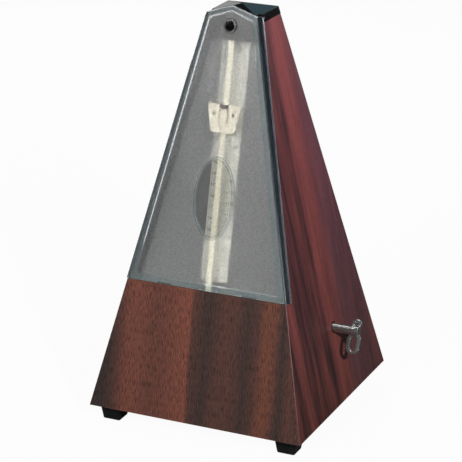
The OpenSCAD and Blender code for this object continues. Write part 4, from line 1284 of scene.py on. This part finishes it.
@dataclass
class FrontCover:
    """The smoke-clear cover: skin, side flanges, frosted panel, oval window, collar and hooks.

    Its shape is drawn in the front face's frame: X across, Y up the slope and Z outwards.
    """

    rack: FinishRack
    low: float = 70.919
    eave: float = 213.29
    peak: float = 217.81
    out: float = 0.35
    thick: float = 1.6
    flange: float = -6.2
    lip: float = 0.6
    edge: float = 0.22
    rim: float = 0.4
    spread: float = 0.31
    room: tuple[float, float] = (60.0, 225.0)
    room_deep: float = 8.0
    room_spread: float = 0.4
    panel_low: float = -0.4
    panel_up: float = 0.5
    foot_in: tuple[float, float, float] = (4.4, 2.9, 2.2)
    top_in: tuple[float, float, float] = (5.2, 3.7, 3.0)
    window_up: float = 119.12
    window: tuple[float, float] = (12.0, 22.0)
    beads: tuple[tuple[float, float, float], ...] = ((0.6, 0.42, 0.8), (2.1, 0.34, 0.62))
    floor: float = 0.55
    hole_r: float = 2.75
    collar_r: float = 3.9
    collar_up: float = 2.3
    stud_up: float = 207.55
    stud_zone: float = 12.0
    tab: tuple[float, float, float] = (3.6, 0.7, 1.9)
    tab_floor: float = 0.2
    hook_at: float = 24.0
    hook_half: float = 4.0
    hook_span: tuple[float, float] = (-5.0, 0.5)
    hook_back: float = -4.62
    hook_gap: float = -3.22

    def build(self) -> None:
        """Builds the whole cover as one clear moulding."""
        skin = self._tray()
        skin.fuse(self._panel())
        skin.cut(self._oval("window_floor", self.floor, 3.0, 0.75))
        skin.cut(self._oval("window_back", -3.0, self.out - self.thick + 0.15, 1.2))
        for bead in self.beads:
            skin.fuse(self._bead(*bead))
        skin.fuse(self._collar())
        skin.cut(Workpiece.rod("stud_way", self.hole_r, -4, 4).carry((0, self.stud_up, 0)))
        half, low, high = self.tab[0], self.low + self.tab[1], self.low + self.tab[2]
        skin.cut(Workpiece.block("tab_mark", (-half, low, self.tab_floor), (half, high, 1)))
        for side in (-1, 1):
            skin.fuse(self._hook(side))
        skin.soften(self.edge, angle=35)
        # splits off the flanges' rear strip, which takes the painted highlight
        skin.edit()
        skin.slice(self.flange + self.lip)
        skin.shade(14)
        skin.colour(self._look)
        clear = self.rack.take(
            "cover_clear", "cover_frost", "cover_edge", "cover_side", "cover_lip"
        )
        skin.dress(clear, "cover", "cover_smoke", "front_cover", place=PLAN.front_matrix())

    def _look(self, at: Vector, way: Vector) -> int:
        """Puts frost behind, a tint on slopes and the border, a deeper one on the sides, and a
        painted highlight on the flanges' rear strips and rounded outer edges.

        Args:
            at: A face's middle.
            way: Its normal.

        Returns:
            Its material's index: clear, frost, edge, side or painted highlight.
        """
        from_stud = (at - Vector((0, self.stud_up, 0))).length
        if way.z < -0.999 and abs(at.z - self.out + self.thick) < NEAR:
            return 1
        if abs(way.x) > 0.5 and at.z < self.out - 0.05 and from_stud > self.stud_zone:
            # the flanges' rear strip is painted with a pale highlight
            return 3 if at.z > self.flange + self.lip else 4
        # the rounded outer edges take the painted highlight too
        if 0.12 < abs(way.x) <= 0.5 and abs(at.z - self.out) < 0.2 and at.y < self.eave - 3:
            return 4
        border = way.z > 0.999 and at.z < self.out + NEAR
        return 2 if border or (abs(way.z) < 0.97 and from_stud > 5) else 0

    def _corners(self, trim: tuple[float, float, float], out: float) -> list[Vector]:
        """Draws the gabled outline, trimmed.

        Args:
            trim: What its lower sides, its lower edge and its top lose.
            out: Its height over the front face.

        Returns:
            Its five corners.
        """
        low = PLAN.cover_half(self.low, self.out) - trim[0]
        high = PLAN.cover_half(self.eave, self.out) - trim[2]
        foot, eave, peak = self.low + trim[1], self.eave - trim[2] * 0.9, self.peak - trim[2]
        spots = [(-low, foot), (low, foot), (high, eave), (0, peak), (-high, eave)]
        return [Vector((x, y, out)) for x, y in spots]

    def _tray(self) -> Workpiece:
        """Moulds the skin with its two side flanges.

        Returns:
            The skin, hollow behind.
        """
        piece = Workpiece.outline("cover_body", self._corners((0, 0, 0), self.out))
        piece.extrude(self.flange - self.out)
        piece.close_up()
        piece.pick(Domain.EDGE, lambda at, way: at.z > self.out - 0.01)
        piece.bevel(self.rim, 1)
        for side in (-1, 1):
            piece.pick(Domain.VERT, lambda at, way: at.z < self.out - 1 and at.x * side > 1)
            piece.move((side * self.spread, 0, 0))
        piece.close_up()
        deep = self.out - self.thick
        foot, top = self.room
        low, high = PLAN.cover_half(foot, deep), PLAN.cover_half(top, deep)
        inner = [(-low, foot, deep), (low, foot, deep), (high, top, deep), (-high, top, deep)]
        room = Workpiece.outline("cover_room", inner)
        room.extrude(-self.room_deep)
        for side in (-1, 1):
            room.pick(Domain.VERT, lambda at, way: at.z < deep - 1 and at.x * side > 0)
            room.move((side * self.room_spread, 0, 0))
        room.close_up()
        piece.cut(room)
        return piece

    def _panel(self) -> Workpiece:
        """Moulds the raised panel with its sloping border.

        Returns:
            The panel.
        """
        foot, top = (self._corners(trim, self.panel_low) for trim in (self.foot_in, self.top_in))
        piece = Workpiece.outline("cover_panel", foot)
        piece.extrude(self.out - self.panel_low)
        piece.extrude(self.panel_up)
        high = Vector((0, 0, self.out - self.panel_low + self.panel_up))
        for start, end in zip(foot, top):
            spot = start + high
            piece.pick(Domain.VERT, lambda at, way: (at - spot).length < 0.01)
            piece.move(end - start)
        piece.close_up()
        return piece

    def _oval(self, name: str, low: float, high: float, inset: float) -> Workpiece:
        """Makes an upright oval block at the window.

        Args:
            name: Its name.
            low: Height of its lower end.
            high: Height of its upper end.
            inset: How much smaller than the window it is.

        Returns:
            The block.
        """
        piece = Workpiece.rod(name, 1.0, low, high, 96)
        piece.resize((self.window[0] - inset, self.window[1] - inset, 1))
        return piece.carry((0, self.window_up, 0))

    def _bead(self, inset: float, radius: float, up: float) -> Workpiece:
        """Lays a round bead along an oval, drawn as a curve and turned into a mesh.

        Args:
            inset: How much smaller than the window the oval is.
            radius: The bead's radius.
            up: The bead's height.

        Returns:
            The bead.
        """
        Workpiece.clear_bench()
        bpy.ops.curve.primitive_bezier_circle_add(radius=1)
        curve = bpy.context.active_object
        curve.scale = (self.window[0] - inset, self.window[1] - inset, 1)
        curve.location = (0, self.window_up, up)
        bpy.ops.object.transform_apply(location=False, rotation=False, scale=True)
        for point in curve.data.splines[0].bezier_points:
            point.radius = 1.0
        curve.data.resolution_u = 24
        curve.data.bevel_depth = radius
        curve.data.bevel_resolution = 3
        curve.data.use_fill_caps = True
        piece = Workpiece.from_shape("window_bead")
        piece.edit()
        piece.close_up()
        return piece

    def _collar(self) -> Workpiece:
        """Turns the raised collar round the stud's hole.

        Returns:
            The collar.
        """
        top, outer = self.collar_up, self.collar_r
        profile = [
            (1.0, -0.6), (outer + 0.15, -0.6), (outer + 0.15, 0.9), (outer, 1.5),
            (outer - 0.25, top - 0.08), (outer - 0.5, top), (self.hole_r + 0.35, top - 0.05),
            (self.hole_r, top - 0.4), (1.0, top - 0.4),
        ]
        return Workpiece.lathe("cover_collar", profile, 64).carry((0, self.stud_up, 0))

    def _hook(self, side: int) -> Workpiece:
        """Makes a hook that drops behind the top of the lower panel.

        Args:
            side: -1 for the left one.

        Returns:
            The hook.
        """
        left, right = side * self.hook_at - self.hook_half, side * self.hook_at + self.hook_half
        foot, top = (self.low + end for end in self.hook_span)
        piece = Workpiece.block("cover_hook", (left, foot, self.hook_back), (right, top, -1))
        gap = (left - 1, foot - 1, self.hook_gap), (right + 1, self.low, 0)
        piece.cut(Workpiece.block("hook_gap", *gap))
        return piece


@dataclass
class ScaleAndRod:
    """The board, the scale plate with its printed tempo scale, and the notched rod."""

    rack: FinishRack
    face_w: float = -9.9
    ink: float = 0.02
    top_up: float = 195.0
    low_up: float = 84.0
    tick: tuple[float, float, float] = (2.2, 3.5, 0.12)
    edge: float = 0.1
    digit: float = 2.3
    digit_at: float = 5.3
    tempos: tuple[int, ...] = (
        *range(40, 60, 2), *range(60, 72, 3), *range(72, 120, 4), *range(120, 144, 6),
        *range(144, 209, 8),
    )

    def build(self) -> None:
        """Refines the CAD pieces and prints the scale."""
        for node, name, body, slot, finish in (
            ("scale_board", "board_panel", "case", "board_grey", "board_grey"),
            ("scale_plate", "tempo_plate", "case", "scale_ivory", "plate_ivory"),
            ("pendulum_rod", "swing_rod", "pendulum", "rod_cream", "rod_cream"),
        ):
            piece = Workpiece.copy_of(node, name)
            piece.soften(self.edge)
            piece.dress(self.rack.take(finish), body, slot, node)
        self._print()

    def _print(self) -> None:
        """Prints a tick and a plain number for each tempo, in turn left and right of the rod."""
        foot = self.low_up - 4
        marks = Workpiece.block("tempo_print", (-0.1, foot, 0), (0.1, foot + 0.1, self.ink))
        pitch = (self.top_up - self.low_up) / (len(self.tempos) - 1)
        near, far, half = self.tick
        for index, tempo in enumerate(self.tempos):
            side = -1 if index % 2 == 0 else 1
            up = self.top_up - index * pitch
            low, high = sorted((side * near, side * far))
            marks.join(Workpiece.block("tick", (low, up - half, 0), (high, up + half, self.ink)))
            marks.join(self._number(str(tempo), side * self.digit_at, up))
        place = PLAN.front_matrix(out=self.face_w)
        marks.dress(self.rack.take("scale_ink"), "case", "cap_black", place=place)

    def _number(self, text: str, x: float, up: float) -> Workpiece:
        """Sets a plain number and turns it into a thin mesh.

        Args:
            text: The number.
            x: Its middle across.
            up: Its middle up the scale.

        Returns:
            The number.
        """
        Workpiece.clear_bench()
        bpy.ops.object.text_add()
        words = bpy.context.active_object
        words.data.body = text
        words.data.size = self.digit
        words.data.align_x = "CENTER"
        words.data.align_y = "CENTER"
        words.data.extrude = self.ink / 2
        words.data.resolution_u = 3
        words.location = (x, up, self.ink / 2)
        return Workpiece.from_shape("number")


@dataclass
class SlidingWeight:
    """The weight that slides on the rod: a slotted front plate, a channelled back plate, rivets."""

    rack: FinishRack
    middle_up: float = 160.12
    top_half: float = 9.2
    low_half: float = 6.5
    height: float = 14.6
    front: tuple[float, float] = (-3.42, -2.12)
    back: tuple[float, float] = (-5.82, -3.42)
    channel: tuple[float, float] = (1.72, -4.6)
    slit: tuple[float, float, float] = (1.75, 2.6, -2.8)
    notch: tuple[float, float] = (2.6, 4.9)
    rivet_at: tuple[float, float] = (5.3, 2.1)
    rivet_r: float = 0.75
    rivet_play: float = 0.05
    corners: tuple[float, float] = (1.2, 0.3)
    edge: float = 0.14

    def build(self) -> None:
        """Builds the two plates, the rivets, and a dark sheet behind the notch that paints the
        shade there.
        """
        slits = [
            ("slit", (low, self.slit[2], -5), (high, 9, 0))
            for low, high in ((-self.slit[1], -self.slit[0]), self.slit[:2])
        ]
        wide, up = self.notch
        half, deep = self.channel
        notch = ("notch", (-wide, up, -5), (wide, 9, 0))
        channel = ("channel", (-half, -9, deep), (half, 9, 0))
        for name, span, cuts, finish, node in (
            ("weight_face", self.front, (*slits, notch), "weight_ivory", "weight_front"),
            ("weight_rear", self.back, (channel,), "weight_shade", "weight_back"),
        ):
            plate = self._plate(name, *span)
            for cut in cuts:
                plate.cut(Workpiece.block(*cut))
            for side in (-1, 1):
                hole = Workpiece.rod("rivet_hole", self.rivet_r + self.rivet_play, -7, 0, 32)
                plate.cut(hole.carry(self._rivet_spot(side)))
            plate.soften(self.edge)
            self._dress(plate, finish, "weight_ivory", node)
        rivets = self._rivet(-1)
        rivets.join(self._rivet(1))
        # painted shade: a dark sheet behind the notch, where the rod lies in shade
        low, high = self.notch[1] - 0.1, self.height / 2 - 0.3
        back = self.front[0] + 0.02
        leaf = Workpiece.block("leaf", (-wide - 0.1, low, back), (wide + 0.1, high, back + 0.2))
        rivets.join(leaf)
        rivets.obj.name = "weight_pins"
        self._dress(rivets, "rivet_dark", "rivet_dark", "weight_rivets")

    def _dress(self, piece: Workpiece, finish: str, slot: str, node: str) -> None:
        """Sets a piece of the weight on the rod."""
        place = PLAN.front_matrix(self.middle_up)
        piece.dress(self.rack.take(finish), "sliding_weight", slot, node, place=place)

    def _plate(self, name: str, low: float, high: float) -> Workpiece:
        """Makes a tapered plate with rounded corners.

        Args:
            name: Its name.
            low: Height of its back.
            high: Height of its face.

        Returns:
            The plate.
        """
        y = self.height / 2
        spots = [(-self.low_half, -y), (self.low_half, -y), (self.top_half, y), (-self.top_half, y)]
        piece = Workpiece.outline(name, [(a, b, low) for a, b in spots])
        piece.extrude(high - low)
        piece.pick(Domain.EDGE, lambda at, way: abs(way.z) > 0.9 and at.y < 0)
        piece.bevel(self.corners[0], 5)
        piece.pick(Domain.EDGE, lambda at, way: abs(way.z) > 0.9 and at.y > y - 0.1)
        piece.bevel(self.corners[1], 3)
        piece.close_up()
        return piece

    def _rivet_spot(self, side: int) -> tuple[float, float, float]:
        """Where a rivet sits on its side of the rod."""
        return (side * self.rivet_at[0], self.rivet_at[1], 0)

    def _rivet(self, side: int) -> Workpiece:
        """Turns a rivet with a dimpled head, sunk a little in the front plate.

        Args:
            side: -1 for the left one.

        Returns:
            The rivet.
        """
        top, low, r = self.front[1] - 0.12, self.back[0] + 0.1, self.rivet_r
        head = [(r, top - 0.15), (r - 0.15, top), (0.3, top), (0.22, top - 0.25), (0, top - 0.3)]
        piece = Workpiece.lathe("rivet", [(0, low), (r, low), *head], 32)
        piece.shade(35)
        return piece.carry(self._rivet_spot(side))


@dataclass
class WindingKey:
    """The chromed key: a hub, a boss, and a grip of one long and one short loop."""

    rack: FinishRack
    y: float = 5.3
    z: float = 48.2
    hub: tuple[float, float] = (49.07, 65.066)
    hub_r: float = 2.5
    bore_r: float = 1.55
    grip_x: float = 64.266
    boss: tuple[float, float] = (3.1, 2.0)
    wire: float = 1.15
    grip_half: float = 1.1
    long_loop: tuple[float, float, float] = (2.73, -4.9, -4.1)
    short_loop: tuple[float, float, float] = (1.75, 3.5, 0.0)
    lean: float = -27.0
    grain: float = 0.11

    def build(self) -> None:
        """Casts the key from its parts in one skin, and chromes it."""
        low, high = (x - self.grip_x for x in self.hub)
        piece = self._along(self.hub_r, low, high)
        piece.obj.name = "key_cast"
        piece.fuse(self._along(self.boss[0], -self.boss[1], self.boss[1]))
        for loop in (self.long_loop, self.short_loop):
            piece.fuse(self._loop(*loop))
        piece.apply("REMESH", mode="VOXEL", voxel_size=self.grain)
        piece.apply("SMOOTH", factor=0.5, iterations=8)
        piece.cut(self._along(self.bore_r, low - 1, -4.0))
        piece.shut()
        bpy.ops.object.shade_smooth_by_angle(angle=math.radians(40))
        turn = Matrix.Rotation(math.radians(self.lean), 4, "X")
        place = Matrix.Translation((self.grip_x, self.y, self.z)) @ turn
        chrome = self.rack.take("key_chrome")
        piece.dress(chrome, "key", "key_chrome", "winding_key", place=place)

    @staticmethod
    def _along(radius: float, low: float, high: float) -> Workpiece:
        """Makes a rod along X.

        Args:
            radius: Its radius.
            low: Its end nearer to the case.
            high: Its other end.

        Returns:
            The rod.
        """
        piece = Workpiece.rod("key_rod", radius, low, high, 64)
        piece.turn(Axis.Y)
        verts = bmesh.from_edit_mesh(piece.obj.data).verts
        now = sum(vert.co.x for vert in verts) / len(verts)
        piece.carry(((low + high) / 2 - now, 0, 0)).close_up()
        return piece

    def _loop(self, radius: float, middle: float, drop: float) -> Workpiece:
        """Makes a ring in the XZ plane, its lower half drawn down into a stadium.

        Args:
            radius: The ring's middle radius.
            middle: Height of its middle.
            drop: How far its lower half is drawn down.

        Returns:
            The ring.
        """
        piece = Workpiece.add(
            "key_loop", bpy.ops.mesh.primitive_torus_add, major_radius=radius,
            minor_radius=self.wire, major_segments=64, minor_segments=20,
        )
        piece.resize((1, 1, 1.4 * self.grip_half / self.wire))
        for side in (-1, 1):
            piece.slice(side * self.grip_half, side)
        piece.edit()
        piece.turn(Axis.X)
        if drop:
            piece.pick(Domain.VERT, lambda at, way: at.z < -1e-4)
            piece.move((0, 0, drop))
        return piece.carry((0, 0, middle))


@dataclass
class Interior:
    """Dresses the CAD pieces that keep their own shape."""

    rack: FinishRack

    def build(self) -> None:
        """Gives each CAD node that is still shown the finish of its slot."""
        for name, node in sorted(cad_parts.items()):
            if node.hide_render:
                continue
            for slot in node.material_slots:
                kind = slot.material.name.split(".")[0]
                slot.material = self.rack.made["base_matt" if kind == "base_black" else kind]
                LOG.info("%s dressed as %s", name, kind)


# ------------------------------------------------------------------ studio


def heading(azimuth: float, elevation: float) -> Vector:
    """Points to a spot round the object, in degrees from the front to the right and up."""
    a, e = math.radians(azimuth), math.radians(elevation)
    return Vector((math.sin(a) * math.cos(e), -math.cos(a) * math.cos(e), math.sin(e)))


class Card(NamedTuple):
    """A round bright patch of the world that only mirrors see, with its angles in degrees."""

    azimuth: float
    elevation: float
    wide: float
    power: float


class Lamp(NamedTuple):
    """A round area light a metre from the middle of the case, with its angles in degrees."""

    name: str
    azimuth: float
    elevation: float
    size: float
    power: float
    colour: Colour = WHITE


@dataclass
class Studio:
    """A pale floor, a soft studio light and the camera."""

    azimuth: float = 24.42
    elevation: float = 19.95
    roll: float = 0.17
    distance: float = 1141.3
    focal: float = 2154.7
    shift: float = -5.32
    aim_z: float = 96.2
    frame_wide: float = 462.0
    sensor: float = 36.0
    floor_size: float = 8.0
    case_mid: float = 0.1
    card_core: float = 0.6
    cards: tuple[Card, ...] = (
        Card(-82.0, 3.0, 13.0, 8.0),
        Card(-66.0, 47.0, 10.0, 9.0),
        Card(-18.0, 61.0, 10.0, 9.0),
        Card(35.0, 16.0, 9.0, 3.0),
        Card(-112.0, -3.0, 8.0, 6.5),
        Card(-111.0, 46.0, 8.0, 7.5),
        Card(-130.0, 84.0, 10.0, 9.0),
        Card(67.0, 6.0, 8.0, 5.0),
        Card(42.0, 2.5, 4.5, 6.0),
    )
    lamps: tuple[Lamp, ...] = (
        Lamp("side_light", 45.0, 27.0, 0.04, 6.4, (1.0, 0.98, 0.96)),
        Lamp("front_light", -8.5, 21.5, 0.2, 3.95),
        Lamp("rear_light", 212.0, 32.0, 0.3, 3.6),
    )
    back_room: tuple[tuple[float, float | Colour], ...] = (
        (0.0, 0.2), (0.5, 0.5), (0.56, 0.62), (0.64, 0.5), (0.7, (0.1, 0.23, 0.29)),
        (0.76, (0.04, 0.07, 0.08)), (0.85, 0.03), (1.0, 0.03),
    )
    front_room: tuple[tuple[float, float], ...] = (
        (0.0, 0.05), (0.45, 0.1), (0.55, 0.14), (1.0, 0.1),
    )

    def build(self) -> None:
        """Builds floor, world, lamps and camera."""
        self._floor()
        self._world()
        for lamp in self.lamps:
            self._lamp(lamp)
        self._camera()
        bpy.context.scene.view_settings.view_transform = "Standard"

    def _floor(self) -> None:
        """Lays a pale floor: white to the camera but for a soft shadow, darker to reflections."""
        Workpiece.clear_bench()
        bpy.ops.mesh.primitive_plane_add(size=self.floor_size)
        floor = Workpiece("studio_floor").obj
        material = bpy.data.materials.new("floor_white")
        sheet = NodeSheet.of(material)
        speck = sheet.noise(sheet.add("TexCoord").outputs["Object"], 4.0, 2.0)
        shade = sheet.ramp(speck, [(0.3, 0.78), (0.7, 0.82)])
        matt = {"Base Color": shade, "Roughness": 0.9, "Specular IOR Level": 0.0}
        matt = sheet.add("BsdfPrincipled", matt).outputs[0]
        glow = sheet.add("Emission", {0: paint(WHITE), 1: 1.0}).outputs[0]
        seen = sheet.both(0.95, matt, glow)
        dark = sheet.add("BsdfDiffuse", {0: paint((0.1, 0.1, 0.1))}).outputs[0]
        sheet.add("OutputMaterial", {0: sheet.both(sheet.ray("Camera"), dark, seen)})
        floor.data.materials.append(material)

    def _world(self) -> None:
        """Lights the world: white to the camera, and a window band, cards and dark to mirrors."""
        world = bpy.data.worlds.new("studio_world")
        bpy.context.scene.world = world
        sheet = NodeSheet.of(world)
        way = sheet.add("TexCoord").outputs["Generated"]
        rise = sheet.span(sheet.part(way, Axis.Z), -1.0, 1.0)
        back, front = (sheet.ramp(rise, room) for room in (self.back_room, self.front_room))
        mirror = sheet.mix(sheet.span(sheet.part(way, Axis.Y), -0.25, 0.25), front, back)
        for card in self.cards:
            spot = {0: way, 1: heading(card.azimuth, card.elevation)}
            near = sheet.add("VectorMath", spot, operation="DOT_PRODUCT").outputs["Value"]
            rim, core = (math.cos(math.radians(card.wide * part)) for part in (1, self.card_core))
            glow = (card.power, card.power, card.power * 1.03, 1.0)
            mirror = sheet.mix(sheet.span(near, rim, core), mirror, glow)
        plain, shiny, white = (
            sheet.add("Background", {0: colour, 1: strength}).outputs[0]
            for colour, strength in (
                (paint((0.95, 0.98, 1.0)), 0.08), (mirror, 1.0), (paint(WHITE), 1.0),
            )
        )
        hidden = sheet.both(sheet.ray("Glossy"), plain, shiny)
        sheet.add("OutputWorld", {0: sheet.both(sheet.ray("Camera"), hidden, white)})

    def _lamp(self, plan: Lamp) -> None:
        """Hangs an area light and turns it to the case.

        Args:
            plan: Where it hangs and how it shines.
        """
        way = heading(plan.azimuth, plan.elevation)
        Workpiece.clear_bench()
        bpy.ops.object.light_add(type="AREA", location=way + Vector((0, 0, self.case_mid)))
        lamp = bpy.context.active_object
        lamp.name = plan.name
        lamp.data.shape = "DISK"
        lamp.data.size = plan.size
        lamp.data.energy = plan.power
        lamp.data.color = plan.colour
        lamp.rotation_euler = way.to_track_quat("Z", "Y").to_euler()
        lamp.visible_glossy = False

    def _camera(self) -> None:
        """Sets the camera, a little above the front and to its right."""
        a, r = math.radians(self.azimuth), math.radians(self.roll)
        back = heading(self.azimuth, self.elevation)
        right = Vector((math.cos(a), math.sin(a), 0))
        up = back.cross(right)
        across = math.cos(r) * right + math.sin(r) * up
        upward = -math.sin(r) * right + math.cos(r) * up
        spot = Vector((0, 0, self.aim_z)) + right * self.shift + back * self.distance
        data = bpy.data.cameras.new("studio_camera")
        data.sensor_width = self.sensor
        data.lens = self.focal / self.frame_wide * self.sensor
        data.clip_start, data.clip_end = 0.01, 20.0
        camera = bpy.data.objects.new("studio_camera", data)
        bpy.context.scene.collection.objects.link(camera)
        turn = Matrix((across, upward, back)).transposed().to_4x4()
        camera.matrix_world = Matrix.Translation(spot * MM) @ turn
        bpy.context.scene.camera = camera


def main() -> None:
    """Builds the metronome's pieces in order, then the studio round them."""
    logging.basicConfig(level=logging.INFO, format="%(name)s: %(message)s")
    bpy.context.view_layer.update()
    rack = FinishRack(EffectShelf())
    rack.build()
    for part in (
        CaseBody(rack), TopCap(rack), FrontCover(rack), ScaleAndRod(rack), SlidingWeight(rack),
        WindingKey(rack), Interior(rack), Studio(),
    ):
        part.build()


if __name__ == "__main__":
    main()
